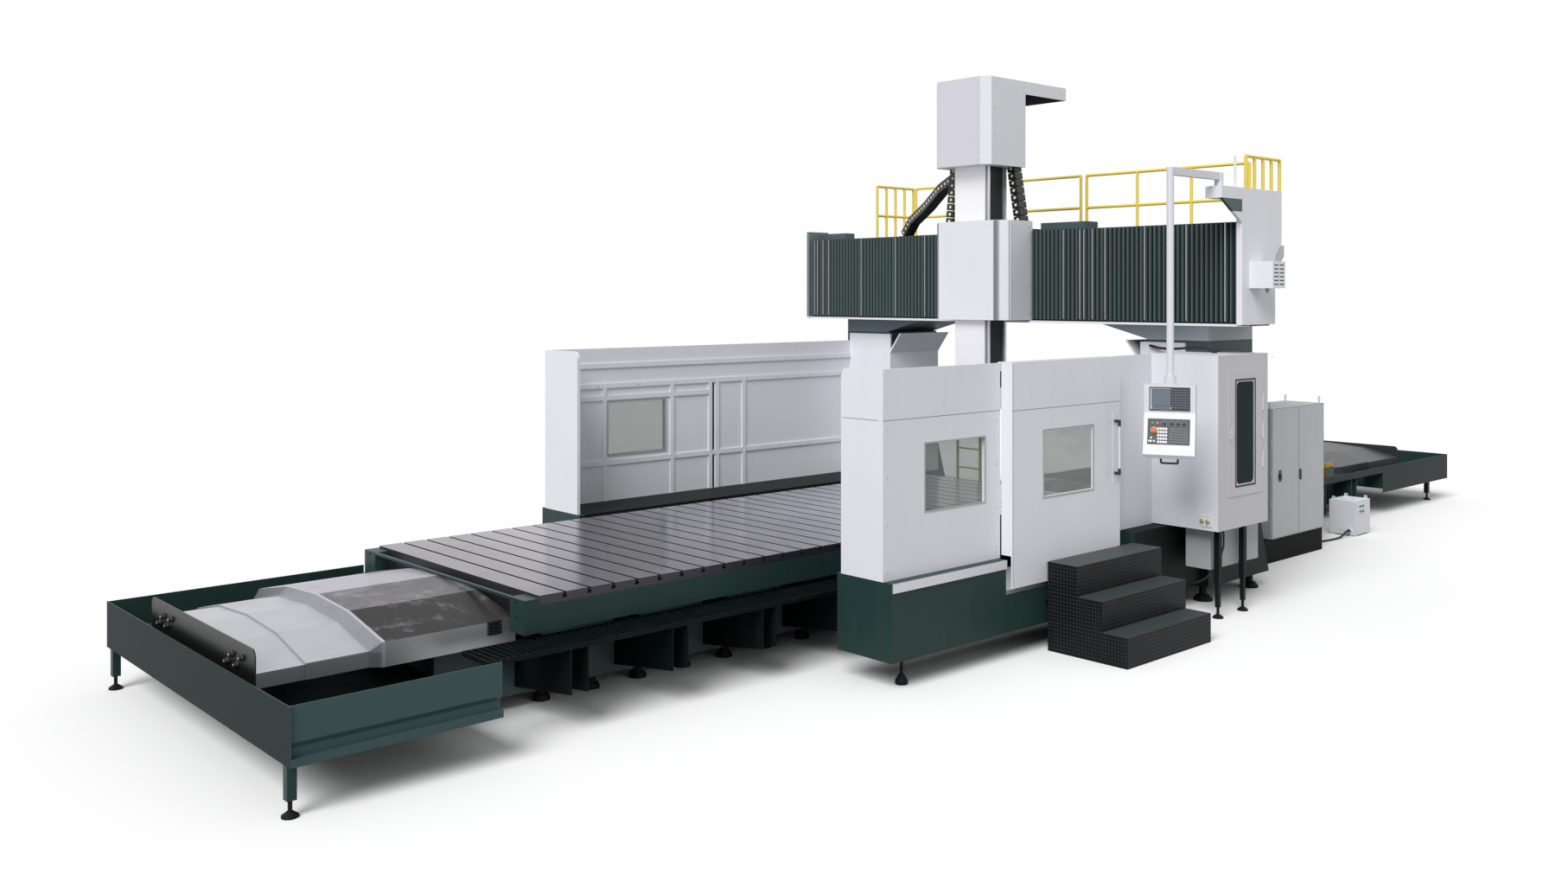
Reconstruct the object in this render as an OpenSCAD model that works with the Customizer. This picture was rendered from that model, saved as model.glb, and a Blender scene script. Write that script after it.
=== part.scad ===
// Double-column machining centre with a travelling table.
// X runs along the table's travel, Y along the crossbeam, Z up from the floor.
// The origin is on the floor, under the bed's middle levelling pad.

/* [Table] */
// Length of the table along X
table_l = 8000; // [7500:250:8500]
// Width of the table over its side skirts
table_w = 3010; // [2800:10:3060]
// Height of the working face above the floor
table_top = 1087; // [1075:1:1110]
// X of the table's front end in the rest pose
table_front = -7800; // [-7900:10:-7700]
// Thickness of the slotted top plate
table_plate = 92; // [80:1:110]
// Height of the whole table casting
table_h = 307; // [290:1:310]
// Distance from one T-slot to the next
slot_pitch = 250; // [200:10:300]
// Width of a T-slot's mouth
slot_w = 28; // [18:1:36]
// Depth of a T-slot's mouth
slot_neck = 30; // [20:1:34]
// Width of a T-slot's foot
slot_foot_w = 46; // [40:1:60]
// Height of a T-slot's foot
slot_foot_h = 22; // [16:1:26]
// Thickness of the ribs under the plate
table_rib = 40; // [25:1:60]
// Thickness of the side skirts
skirt_t = 10; // [5:1:20]
// Height of the side skirts
skirt_h = 225; // [200:1:240]
// Length of the hood at each end of the table
hood_l = 150; // [120:5:200]

/* [Travels] */
// Travel of the table along X
table_travel = 7100; // [6800:50:7100]

/* [Way covers] */
// Length of one telescopic section
cover_l = 1190; // [1180:5:1230]
// Sheet thickness of a section
cover_t = 4; // [2:0.5:5]
// Half distance between a section's two creases
cover_flat = 620; // [580:10:660]
// Half width of the smallest section
cover_edge = 1190; // [1150:5:1195]
// Height of the smallest section's creases
cover_top = 922; // [915:1:924]
// Rise of the ridge above the creases
cover_ridge = 35; // [25:1:36]
// Height of the smallest section's shoulder
cover_shoulder = 798; // [785:1:800]
// Height of every section's lower edge
cover_bottom = 684; // [682:1:690]
// Rise of the top from one section to the next
cover_rise = 12.5; // [11:0.5:12.5]
// Rise of the shoulder from one section to the next
cover_shoulder_rise = 12; // [10:0.5:12.5]
// Growth of the half width from one section to the next
cover_grow = 12; // [8:0.5:12]
// Length of the first section left bare in the rest pose
cover_bare_a = 370; // [300:10:400]
// Length of the second section left bare in the rest pose
cover_bare_b = 510; // [400:10:520]
// Lip that each stacked section shows
cover_lip = 13; // [8:1:15]
// Depth of the last section inside the table's hood
cover_tuck = 95; // [60:5:110]

/* [Bed] */
// Half width of the bed
bed_half = 1000; // [950:10:1040]
// Height of the bed's underside
bed_bottom = 140; // [120:5:170]
// Height of the bed's deck between the ways
bed_deck = 600; // [580:5:620]
// Height of the three ways
way_z = 680; // [675:1:682]
// Width of a way
way_w = 260; // [200:10:300]
// Offset of the outer ways from the centre line
way_y = 860; // [820:5:865]
// Wall thickness of the bed casting
bed_wall = 45; // [35:1:60]
// Width of a guide rail
rail_w = 65; // [45:1:80]
// Height of a guide rail
rail_h = 58; // [45:1:62]
// Spacing of the levelling pads along X
pad_pitch = 528; // [480:1:560]
// Radius of a levelling pad
pad_r = 85; // [60:1:100]
// Diameter of the longitudinal screw
screw_d = 80; // [60:1:100]

/* [Trays and walkways] */
// Half width of the front tray
tray_half = 2100; // [2000:10:2150]
// Height of the trays' rims
tray_rim = 790; // [760:5:800]
// Height of the trays' lower edge
tray_low = 370; // [340:5:400]
// Height of the front tray's floor
tray_floor = 440; // [430:5:480]
// Clear length in front of the first way cover
tray_gap = 120; // [80:5:160]
// Half width of the rear tray
rear_half = 1585; // [1560:5:1620]
// Sheet thickness of the trays
tray_t = 8; // [5:1:12]
// Inner edge of the walkway gratings
walk_in = 1450; // [1400:10:1480]
// Outer edge of the walkway gratings
walk_out = 1880; // [1800:10:1950]
// Height of the walkways' upper face
walk_z = 740; // [720:5:745]
// Thickness of a grating
walk_t = 40; // [25:1:50]
// Spacing of the grating's bars
bar_pitch = 60; // [50:5:80]
// Spacing of the walkway brackets
bracket_pitch = 1040; // [900:10:1200]
// Distance between the two plates of a bracket
bracket_pair = 165; // [120:5:200]

/* [Columns and crossbeam] */
// Clear width between the columns
column_gap = 4200; // [4100:10:4300]
// Width of a column along Y
column_w = 860; // [760:10:900]
// X of the columns' front faces
column_front = 280; // [270:5:340]
// Depth of a column at its top
column_d = 1010; // [900:10:1100]
// Extra depth of a column at its foot
column_toe = 400; // [200:10:500]
// Height of the columns' underside
column_foot = 200; // [150:5:220]
// Height of the columns' tops
column_top = 3060; // [3000:10:3100]
// Height of the crossbeam's haunches
haunch_h = 180; // [150:5:220]
// Reach of a haunch inside the column
haunch_reach = 620; // [400:10:700]
// Half length of the crossbeam
beam_half = 3480; // [3400:10:3500]
// Height of the crossbeam
beam_h = 1180; // [1150:10:1200]
// X of the crossbeam's front face
beam_front = 200; // [195:1:215]
// Wall thickness of the crossbeam
beam_wall = 60; // [45:1:80]
// Thickness of the end plates
end_plate = 50; // [30:1:60]

/* [Bellows] */
// Length of one pleat
pleat = 60; // [50:5:80]
// Depth of a pleat
pleat_depth = 50; // [40:1:60]
// Thickness of the bellows cloth
bellows_t = 4; // [2:0.5:6]

/* [Saddle and ram] */
// Half width of the saddle cover
saddle_half = 605; // [580:5:620]
// Front of the saddle cover
saddle_front = -550; // [-580:5:-540]
// Chamfer of the saddle cover's front corners
saddle_chamfer = 155; // [100:5:180]
// Height of the saddle cover's lower edge
saddle_low = 3275; // [3260:5:3290]
// Height of the saddle cover's roof
saddle_top = 4540; // [4500:5:4580]
// Sheet thickness of the covers
sheet = 4; // [2:0.5:6]
// Width of the ram along Y
ram_w = 490; // [460:5:500]
// Depth of the ram along X
ram_d = 450; // [420:5:455]
// Height of the ram's lower end
ram_low = 2120; // [2080:10:2200]
// Clear height between saddle cover and head cover
head_gap = 700; // [680:5:750]
// Height of the head cover
head_h = 1110; // [1000:10:1200]
// Front of the head cover
head_front = -680; // [-700:5:-640]
// Back of the head cover
head_back = 110; // [90:5:140]
// Half width of the head cover
head_half = 455; // [430:5:480]
// Chamfer of the head cover's front corners
head_chamfer = 100; // [60:5:150]
// Reach of the roof behind the head cover
roof_reach = 870; // [700:10:900]
// Depth of the roof's edge
roof_edge = 165; // [120:5:200]
// Radius of the spindle nose
nose_r = 110; // [100:1:130]
// Length of the spindle nose below the ram
nose_l = 140; // [120:5:180]
// Large diameter of the spindle taper
taper_d = 69.85; // [44.45:0.01:107.95]
// Depth of the spindle taper
taper_l = 102; // [65:1:110]

/* [Guards] */
// X of the guards' front ends
guard_front = -4980; // [-5050:10:-4900]
// Outer plane of the right fixed panel
guard_out = 2760; // [2745:5:2765]
// Inner plane of the guards
guard_in = 2220; // [2200:5:2260]
// Outer plane of the left guard
guard_left_out = 2930; // [2900:5:2960]
// Height of the guards' top
guard_top = 2920; // [2850:10:2960]
// Height of the guard bases
base_top = 990; // [970:5:1000]
// Height of the guard bases' underside
base_low = 270; // [240:5:300]
// Outer plane of the guard bases
base_out = 2870; // [2855:1:2872]
// Inner plane of the guard bases
base_in = 2170; // [2150:5:2190]
// Rear end of the right fixed panel
panel_end = -3300; // [-3310:5:-3290]
// Thickness of the folded panels
panel_t = 40; // [30:1:45]
// Outer plane of the guard door
door_out = 2900; // [2900:1:2910]
// Thickness of the door sheet
door_t = 15; // [10:1:16]
// Left edge of the guard door
door_left = -3285; // [-3285:5:-3270]
// Width of the guard door
door_w = 1855; // [1800:5:1880]
// Height of the guard door's lower edge
door_low = 700; // [690:5:720]
// Width of the guard door's window
door_pane_w = 830; // [700:10:900]
// Height of the windows
pane_h = 650; // [550:10:700]
// Height of the windows' lower edges
pane_low = 1565; // [1500:5:1600]
// Width of the fixed windows
pane_w = 890; // [800:10:950]
// Plane of the recessed panels beside the columns
recess_y = 2670; // [2650:5:2680]

/* [Tool magazine] */
// Left face of the magazine cabinet
mag_left = -450; // [-470:5:-430]
// Length of the magazine cabinet along X
mag_l = 1090; // [1060:10:1110]
// Near face of the magazine cabinet
mag_out = 3500; // [3490:5:3520]
// Height of the magazine cabinet's underside
mag_low = 1000; // [995:5:1030]
// Height of the magazine cabinet's roof
mag_top = 2930; // [2900:10:2960]
// Width of the access door
mag_door_w = 740; // [700:10:780]
// Height of the access door
mag_door_h = 1390; // [1300:10:1450]
// Width of the access door's window
mag_pane_w = 380; // [320:10:420]
// Height of the access door's window
mag_pane_h = 1140; // [1000:10:1200]
// Radius of the tool disc
disc_r = 330; // [300:5:345]
// Number of tool pockets
pocket_n = 16; // [12:1:18]
// Radius of a tool pocket
pocket_r = 48; // [35:1:50]

/* [Steps] */
// Width of the steps
steps_w = 1520; // [1300:10:1600]
// X of the steps' left side
steps_left = -2730; // [-2800:10:-2700]
// Height of one riser
riser = 300; // [250:5:320]
// Depth of the top tread
tread_top = 355; // [300:5:400]
// Depth of the lower treads
tread = 290; // [250:5:320]

/* [Control pendant] */
// X of the pendant arm's swivel
swivel_x = -350; // [-380:5:-330]
// Distance of the pendant arm's swivel from the end of the crossbeam
swivel_in = 30; // [20:5:40]
// Length of the pendant arm
arm_l = 980; // [900:10:1020]
// Radius of the hanging tube
tube_r = 38; // [30:1:45]
// Width of the pendant panel
panel_w = 520; // [480:5:540]
// Height of the pendant panel's top
panel_top = 2655; // [2600:5:2700]
// Height of the pendant panel
panel_h = 765; // [740:5:790]
// Turn of the panel about its tube in the rest pose
panel_turn = 26; // [0:1:40]

/* [Electrical cabinet] */
// Left side of the electrical cabinet
cab_left = 3060; // [3000:10:3100]
// Width of the electrical cabinet
cab_w = 1470; // [1400:10:1550]
// Depth of the electrical cabinet
cab_d = 560; // [500:10:600]
// Near face of the cabinet's doors
cab_out = 2290; // [2270:5:2310]
// Height of the electrical cabinet
cab_h = 2070; // [2000:10:2150]
// Height of the black plinth
plinth_h = 320; // [280:10:350]
// Thickness of the cabinet's doors
cab_door_t = 25; // [18:1:30]

/* [Transformer] */
// Left side of the transformer box
trafo_left = 5810; // [5750:10:5900]
// Length of the transformer box along X
trafo_l = 500; // [450:10:550]
// Depth of the transformer box along Y
trafo_d = 390; // [350:10:420]
// Near face of the transformer box
trafo_out = 2150; // [2120:5:2180]
// Height of the transformer box
trafo_h = 520; // [500:10:540]
// Radius of the hole in a lifting lug
lug_hole_r = 12; // [8:1:14]

/* [Hidden] */
$fn = 48;

// Running clearance between flat faces of different pieces
gap = 0.3;
// Clearance between a rail and the truck that runs on it
truck_gap = 1;
// Radial clearance of a shaft in its bearing
shaft_gap = 0.05;
// Colours
white_paint = "gainsboro";
green_paint = "#24393c";
dark_paint = "#1b2426";
steel = "silver";
black = "#1a1a1a";

// Table
table_rear = table_front + table_l;
table_low = table_top - table_h;
table_mid = (table_front + table_rear) / 2;
plate_low = table_top - table_plate;
slot_n = floor(table_l / slot_pitch) - 1;
slot_first = table_mid - (slot_n - 1) / 2 * slot_pitch;
skirt_low = table_low;
hood_front = table_front - hood_l;
hood_rear = table_rear + hood_l;
truck_l = 260;
truck_w = 180;
truck_n = 4;
truck_inset = 300;
truck_skirt = 18;

// Way covers, numbered from the fixed end towards the table
sections = 8;
cover_stack = cover_bare_a + cover_bare_b + (sections - 3) * cover_lip;
cover_step = (cover_stack + table_travel) / (sections - 1);
front_zero = table_front - cover_tuck - cover_l - cover_stack;
rear_zero = table_rear + table_travel + cover_tuck + cover_l + cover_stack;
cover_plate = 10;
wiper_l = 25;
cover_last_edge = cover_edge + (sections - 1) * cover_grow;
cover_last_top = cover_top + cover_ridge + (sections - 1) * cover_rise;
hood_box_w = table_w / 2 - cover_last_edge - gap;
hood_bar = table_top - cover_last_top - gap;
hood_drop = 20;
hood_edge = 30;
cover_plate_rise = 53;
cover_plate_r = 60;
cover_post = 80;

// Bed
bed_over = 700;
bed_front = table_front - bed_over;
bed_rear = table_rear + table_travel + bed_over;
screw_y = way_y / 2;
screw_z = bed_deck + screw_d / 2 + 22;
nut_l = 300;
nut_w = 200;
nut_floor_gap = 10;
bearing_l = 120;
bearing_w = 180;
pad_stem_r = 45;
pads_front = floor(-bed_front / pad_pitch);
pads_rear = floor(bed_rear / pad_pitch);
pad_skip = 4;

// Trays and walkways
tray_front = front_zero - tray_gap;
tray_back = bed_front - gap;
tray_run = 810;
tray_recess = 30;
tray_lip = 20;
tray_lip_h = 55;
tray_upper = 255;
tray_bevel = 40;
leg_w = 70;
leg_inset = 45;
foot_h = 120;
foot_pad_r = 60;
foot_stem_r = 16;
rear_pan_z = 700;
rear_pan_front = 1750;
rear_gap = 1110;
rear_end = rear_zero + rear_gap;
rear_inner = 1300;
tail_gap = 60;
valve_back = 1960;
valve_x = bed_rear + tail_gap - valve_back;
valve_l = 250;
valve_w = 50;
valve_h = 250;
valve_y = rear_half - tray_t - valve_w / 2;
valve_n = 4;
valve_r = 18;
valve_rise = 60;
walk_front = tray_back + 10;
walk_rear = column_front - 30;
walk_frame = 12;
bracket_t = 12;
bracket_first = table_front + 60;
bracket_low_in = 210;
bracket_low_out = 330;
bracket_dip = cover_bottom - 24;
bracket_n = floor((walk_rear - bracket_first) / bracket_pitch);
rear_bracket_n = floor((bed_rear - rear_pan_front) / bracket_pitch);

// Columns and crossbeam
column_in = column_gap / 2;
column_out = column_in + column_w;
column_back = column_front + column_d;
column_knee = 1500;
column_pocket = 620;
column_wall = 70;
beam_low = column_top + haunch_h;
beam_top = beam_low + beam_h;
beam_pockets = 6;
beam_rail_x = 60;
beam_rail_z = [beam_low + 190, beam_top - 170];
beam_screw_z = beam_low + beam_h / 2;
beam_screw_d = 63;
column_foot_r = 110;
column_foot_inset = 170;

// Bellows and end covers
bellows_low = beam_low + 45;
bellows_high = beam_top - 5;
drip_front = -25;
drip_rail_x = 6;
drip_t = 10;
drip_lip = 28;
left_plate_rise = 120;
left_plate_x = 380;
left_block_l = 550;
left_block_x = 190;
left_block_h = 90;
right_cover_t = 70;
right_cover_x = 720;
right_cover_step = 150;
right_cover_rise = 240;
right_cover_low = 20;
right_cover_shelf = 810;
louvre_box = [280, 280, 300];
louvre_box_x = 130;
louvre_box_z = 3670;
louvre_n = 6;
louvre_at = [0.1, 0.55];
louvre_share = 0.35;
louvre_depth = 9;

// Platform
deck_z = 4180;
deck_t = 40;
deck_w = 1000;
deck_right = -2850;
deck_left = beam_half;
handrail_r = 21;
handrail_h = 1080;
handrail_mid = 620;
handrail_inset = 40;
kick_h = 100;
rail_runs = [[-2400, 100], [200, 1300], [2600, 3380]];
post_pitch = 800;
end_post_pitch = 210;
ladder_y = 2100;
ladder_w = 450;
ladder_pitch = 300;
rung_r = 14;

// Saddle and ram
saddle_back = 60;
carriage_front = 20;
carriage_back = beam_front - beam_rail_x - 12;
carriage_half = saddle_half - sheet - gap;
cheek_out = 560;
beam_screw_x = (carriage_back + beam_front) / 2;
carriage_low = saddle_low + 25;
carriage_high = beam_top - 20;
ram_back = carriage_front - 32;
ram_front = ram_back - ram_d;
ram_half = ram_w / 2;
ram_rail_w = 34;
ram_rail_h = 30;
ram_rail_inset = 60;
ram_rail_low = ram_low + 280;
cheek_in = ram_half + 85;
cheek_front = ram_front + 42;
ram_truck_w = 100;
ram_truck_l = 180;
ram_truck_inset = 120;
ram_truck_skirt = 8;
ram_x = (ram_front + ram_back) / 2;
ram_rail_x = [ram_front + ram_rail_inset, ram_back - ram_rail_inset];
ram_truck_z = [carriage_low + ram_truck_inset, carriage_high - ram_truck_inset - ram_truck_l];
roof_clear = 20;
head_low = saddle_top + head_gap;
head_top = head_low + head_h;
ram_top = head_low + 120;
ram_wall = 70;
motor_r = 180;
motor_h = 700;
shaft_r = 70;
shaft_l = 400;
taper_rate = 7 / 24;
key_w = 25;
key_h = 12;
rack_w = 60;
rack_t = 12;
roof_hole_y = ram_half + ram_rail_h + 20;
wing_z = beam_top + 10;
wing_t = 12;
wing_w = 90;
wing_x = 410;
wing_reach = 1440;
tray_wing_l = 690;
tray_wing_h = 90;
tray_wing_x = 240;

// Energy chains, each a run of links between hand-chosen points
chain_long = [
  [465, 1920, wing_z + 60], [400, 1740, wing_z + 220], [200, 1280, wing_z + 400], [0, 840, wing_z + 610],
  [-150, 385, head_low - 60]
];
chain_left = [[-300, 420, saddle_top + 34], [-300, 350, head_low - 34]];
chain_right = [[0, -470, saddle_top + 34], [0, -360, head_low - 34]];
link_pitch = 85;
link_w = 120;
link_h = 95;
link_t = 10;
link_pin_r = 14;
link_pin_sides = 16;
link_pin_out = 3;
link_open = 3;
link_core = 60;
chain_foot_w = 134;

// Guards
door_right = door_left + door_w;
door_high = guard_top + 10;
door_in = door_out - door_t;
door_return = 15;
door_return_low = base_top + 30;
base_step = panel_end - 45;
base_rise = door_right + 330;
base_end = column_front - gap;
sill_z = 690;
base_sheet = 6;
sill_t = 40;
strip_h = 85;
strip_t = 14.5;
header_h = 80;
door_clear = 5;
recess_t = 30;
return_r = 90;
shield_top = column_top - recess_t;
shield_side_top = 2790;
shield_lip_z = 3045;
shield_lean = 210;
recess_front = door_right - 80;
left_base_out = 2990;
rib_w = 60;
rib_t = 18;
rib_z = [1470, 2445, 2700];
half_rib_z = 2290;
stile_top = 2445;
joint_x = -2365;
stile_x = [-4140, -3070, joint_x - rib_w, joint_x + rib_w, -1830, base_end - rib_w / 2];
pane_t = 6;
pane_lap = 20;
fixed_pane_x = guard_front + 560;
left_pane_x = guard_front + 900;
left_pane_z = 1575;
door_pane_x = door_left + 515;
handle_x = door_right - 100;
handle_low = 1670;
handle_h = 590;
handle_r = 16;
handle_off = 60;
handle_plate = 90;
guard_feet_x = [-4670, -1900];

// Tool magazine
mag_right = mag_left + mag_l;
mag_mid = (mag_left + mag_right) / 2;
mag_in = recess_y;
mag_door_x = mag_mid - mag_door_w / 2 + 30;
mag_door_z = 1355;
mag_door_t = 8;
knuckle_n = 3;
knuckle_l = 90;
knuckle_r = 9.5;
knuckle_out = 8;
knuckle_off = 10;
mag_door_lap = 25;
mag_wall = 20;
mag_pane_x = mag_door_x + 178;
mag_pane_z = mag_door_z + 130;
mag_pane_r = 50;
mag_glass_lap = 20;
disc_z = 2050;
disc_y = -3170;
disc_t = 40;
disc_shaft_r = 60;
hub_r = 120;
pocket_l = 110;
tool_r = 31;
tool_l = 90;
drive_w = 300;
drive_y = -2900;
drive_bore = 100;
disc_edge = 10;
port_x = -400;
port_w = 320;
port_h = 700;
port_z = 1700;
latch_w = 22;
latch_h = 90;
under_box = [1050, 310, 470];
under_box_x = -260;
under_box_y = -3300;
mag_leg_x = [-220, 320];
mag_leg_y = -3365;
mag_leg_w = 64;
mag_leg_slim = 46;
mag_leg_joint = 380;

// Steps
steps_back = door_out + 15;
steps_t = 6;
steps_n = 3;
hook_low = 500;
hook_h = 40;

// Pendant
bracket_front = -460;
bracket_back = 870;
bracket_w = 200;
bracket_y = from(-beam_half - right_cover_t, bracket_w);
bracket_z = beam_top + right_cover_rise;
bracket_h = 130;
mast_x = 0;
gusset_drop = 260;
mast_h = 360;
mast_r = 14;
swivel_r = 48;
swivel_h = 70;
arm_z = bracket_z + bracket_h + swivel_h;
arm_h = 80;
arm_w = 70;
swivel_y = swivel_in - beam_half;
tube_x = swivel_x - arm_l;
tube_y = swivel_y;
neck_h = 85;
neck_r = 60;
panel_low = panel_top - panel_h;
panel_waist = panel_low + 470;
panel_back = 90;
panel_face = -60;
panel_chin = -185;
panel_chin_h = 40;
panel_foot = 25;
panel_wall = 15;
panel_core = 42;
panel_cavity = [
  [panel_back - panel_wall, panel_low + panel_core], [panel_back - panel_wall, panel_top - panel_wall],
  [panel_face + panel_wall, panel_top - panel_wall],
  [panel_face + panel_wall, panel_waist + 2 * panel_core],
  [panel_face + panel_core, panel_waist], [panel_chin + panel_core, panel_low + panel_chin_h + panel_core]
];
key_tilt = atan2(panel_face - panel_chin, panel_waist - panel_low - panel_chin_h);
screen_w = 400;
screen_h = 230;
screen_t = 8;
knob_v = 112;
knob_u = [54, -22, -86, -146];
knob_r = 18;
knob_h = 26;
knob_bar = 7;
knob_stem_r = 6;
knob_stem_l = 18;
button_u = [168, 118];
button_r = 11;
button_h = 9;
button_l = 24;
button_travel = 4;
stop_u = 152;
stop_v = 190;
stop_r = 26;
stop_h = 16;
stop_rise = 18;
stop_stem_r = 12;
stop_stem_l = 24;
stop_travel = 6;
grip_x = panel_chin / 2;
grip_w = 170;
grip_drop = 55;
grip_r = 11;

// Electrical cabinet
cab_right = cab_left + cab_w;
cab_mid = (cab_left + cab_right) / 2;
cab_body = cab_out - cab_door_t - gap;
cab_in = cab_body - cab_d;
cab_wall = 20;
duct_w = 150;
cab_post_w = 150;
cab_post_h = 1980;
eye_r = 30;
eye_t = 8;
switch_x = cab_left + 210;
switch_z = 1140;
switch_r = 34;
switch_h = 30;
switch_stem_r = 8;
switch_stem_l = 14;
cab_handle_x = cab_mid + 35;
cab_handle = [34, 18, 140];
cab_handle_z = 1130;

// Transformer and its cable
trafo_right = trafo_left + trafo_l;
trafo_foot = 20;
lug_t = 8;
lug_w = 46;
lug_h = 45;
lamp_r = 14;
lamp_h = 8;
lamp_x = 130;
lamp_z = 380;
lamp_pitch = 80;
lug_inset = 45;
vent_n = 4;
vent_low = 30;
vent_pitch = 16;
vent_inset = 90;
gland_r = 26;
gland_l = 40;
gland_y = -2080;
gland_z = 90;
cable_r = 15;
cable_sides = 10;
cable_end = cab_right + gland_l;
cable_end_y = -1950;
cable_route = [
  [trafo_left - gland_l, gland_y, gland_z], [5715, -2080, 88], [5650, -2078, 72], [5580, -2076, 45],
  [5500, -2074, 24], [5410, -2072, 17], [5310, -2068, 16], [5200, -2058, 16], [5090, -2040, 16],
  [4990, -2018, 16], [4900, -1996, 20], [4820, -1976, 36], [4750, -1962, 60], [4690, -1954, 80],
  [4630, -1950, 89], [cable_end, cable_end_y, gland_z]
];

// Shared shapes

// Block between two corners
module block(x, y, z) {
  translate([x[0], y[0], z[0]])
    cube([x[1] - x[0], y[1] - y[0], z[1] - z[0]]);
}

// Profile in the Y-Z plane, drawn out along X
module along_x(x0, x1) {
  translate([x0, 0, 0])
    rotate([90, 0, 90])
      linear_extrude(x1 - x0) children();
}

// Profile in the X-Z plane, drawn out along Y
module along_y(y0, y1) {
  translate([0, y1, 0])
    rotate([90, 0, 0])
      linear_extrude(y1 - y0) children();
}

// Range of width w about c, and range of length l from a
function about(c, w) = [c - w / 2, c + w / 2];
function from(a, l) = [a, a + l];

// Rectangle between two corners
module area(a, b) {
  translate([a[0], b[0]])
    square([a[1] - a[0], b[1] - b[0]]);
}

// The shape and its mirror image across the machine's centre line
module both_sides() {
  children();
  mirror([0, 1, 0]) children();
}

function reversed(p) = [for (i = [len(p) - 1:-1:0]) p[i]];

// Screwed foot: pad, neck and stem up to height h
module screw_foot(x, y, h, r, stem) {
  translate([x, y, 0])
    rotate_extrude()
      polygon([[0, 0], [r, 0], [r, h / 8], [stem * 1.6, h / 3], [stem, h / 3], [stem, h], [0, h]]);
}

// Straight round bar between two points
module bar(p, q, r) {
  d = q - p;
  l = norm(d);
  translate(p)
    rotate([0, acos(d[2] / l), atan2(d[1], d[0])])
      cylinder(r = r, h = l);
}

// Outline of a hood that is chamfered at its two front corners, drawn in by d
function hood_outline(front, back, half, chamfer, d) =
  let (c = chamfer - d * tan(22.5))
  [[back, -half + d], [front + d + c, -half + d], [front + d, -half + d + c],
  [front + d, half - d - c], [front + d + c, half - d], [back, half - d]];

// Way covers

// Outline of a way cover's section with its ridge, drawn in by d
function cover_outline(k, d) =
  let (edge = cover_edge + k * cover_grow - d)
  let (shoulder = cover_shoulder + k * cover_shoulder_rise - d)
  let (top = cover_top + k * cover_rise - d)
  [[-edge, cover_bottom], [-edge, shoulder], [-cover_flat, top], [0, top + cover_ridge],
  [cover_flat, top], [edge, shoulder], [edge, cover_bottom]];

// Place of a section's free edge, measured from the fixed end
function stacked(k) = k < 2 ? k * cover_bare_a : cover_bare_a + cover_bare_b + (k - 2) * cover_lip;

// One section from x0, with a wiper from xw that rides on the next smaller section
module cover_sheet(k, x0, xw) {
  along_x(x0, x0 + cover_l)
    polygon(concat(cover_outline(k, 0), reversed(cover_outline(k, cover_t))));
  if (k > 0)
    along_x(xw, xw + wiper_l)
      polygon(concat(cover_outline(k, cover_t), reversed(cover_outline(k - 1, -gap))));
}

module front_cover(k) {
  x0 = front_zero + stacked(k);
  color(steel) cover_sheet(k, x0, x0);
}

module rear_cover(k) {
  x1 = rear_zero - k * cover_step;
  color(steel) cover_sheet(k, x1 - cover_l, x1 - wiper_l);
}

// Black plate that closes the fixed end of a stack, on two posts
module cover_end_plate(x0, floor_z) {
  top = cover_top + cover_plate_rise;
  half = cover_edge - cover_plate_r;
  along_x(x0, x0 + cover_plate) {
    area([-half, half], [cover_bottom, top]);
    area([-cover_edge, cover_edge], [cover_bottom, top - cover_plate_r]);
    for (side = [-1, 1])
      translate([side * half, top - cover_plate_r]) circle(cover_plate_r);
  }
  for (side = [-1, 1])
    block([x0, x0 + cover_plate], about(side * cover_flat, cover_post), [floor_z, cover_bottom]);
}

module cover_fixed_ends() {
  color(black) {
    cover_end_plate(front_zero - cover_plate, tray_floor);
    cover_end_plate(rear_zero, tray_floor);
  }
  front_cover(0);
  rear_cover(0);
}

module cover_table_ends() {
  front_cover(sections - 1);
  rear_cover(sections - 1);
}

module front_cover_2() {
  front_cover(1);
}

module front_cover_3() {
  front_cover(2);
}

module front_cover_4() {
  front_cover(3);
}

module front_cover_5() {
  front_cover(4);
}

module front_cover_6() {
  front_cover(5);
}

module front_cover_7() {
  front_cover(6);
}

module rear_cover_2() {
  rear_cover(1);
}

module rear_cover_3() {
  rear_cover(2);
}

module rear_cover_4() {
  rear_cover(3);
}

module rear_cover_5() {
  rear_cover(4);
}

module rear_cover_6() {
  rear_cover(5);
}

module rear_cover_7() {
  rear_cover(6);
}

// Table

module slot_profile(x) {
  area(about(x, slot_w), [table_top - slot_neck, table_top + 1]);
  area(about(x, slot_foot_w),
    [table_top - slot_neck - slot_foot_h, table_top - slot_neck + 1]);
}

// Truck on the table's underside, astride a bed rail
module table_truck(x, y) {
  along_x(x, x + truck_l)
    difference() {
      area(about(y, truck_w), [way_z + truck_skirt, table_low]);
      area(about(y, rail_w + 2 * truck_gap), [way_z, way_z + rail_h + truck_gap]);
    }
}

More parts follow.
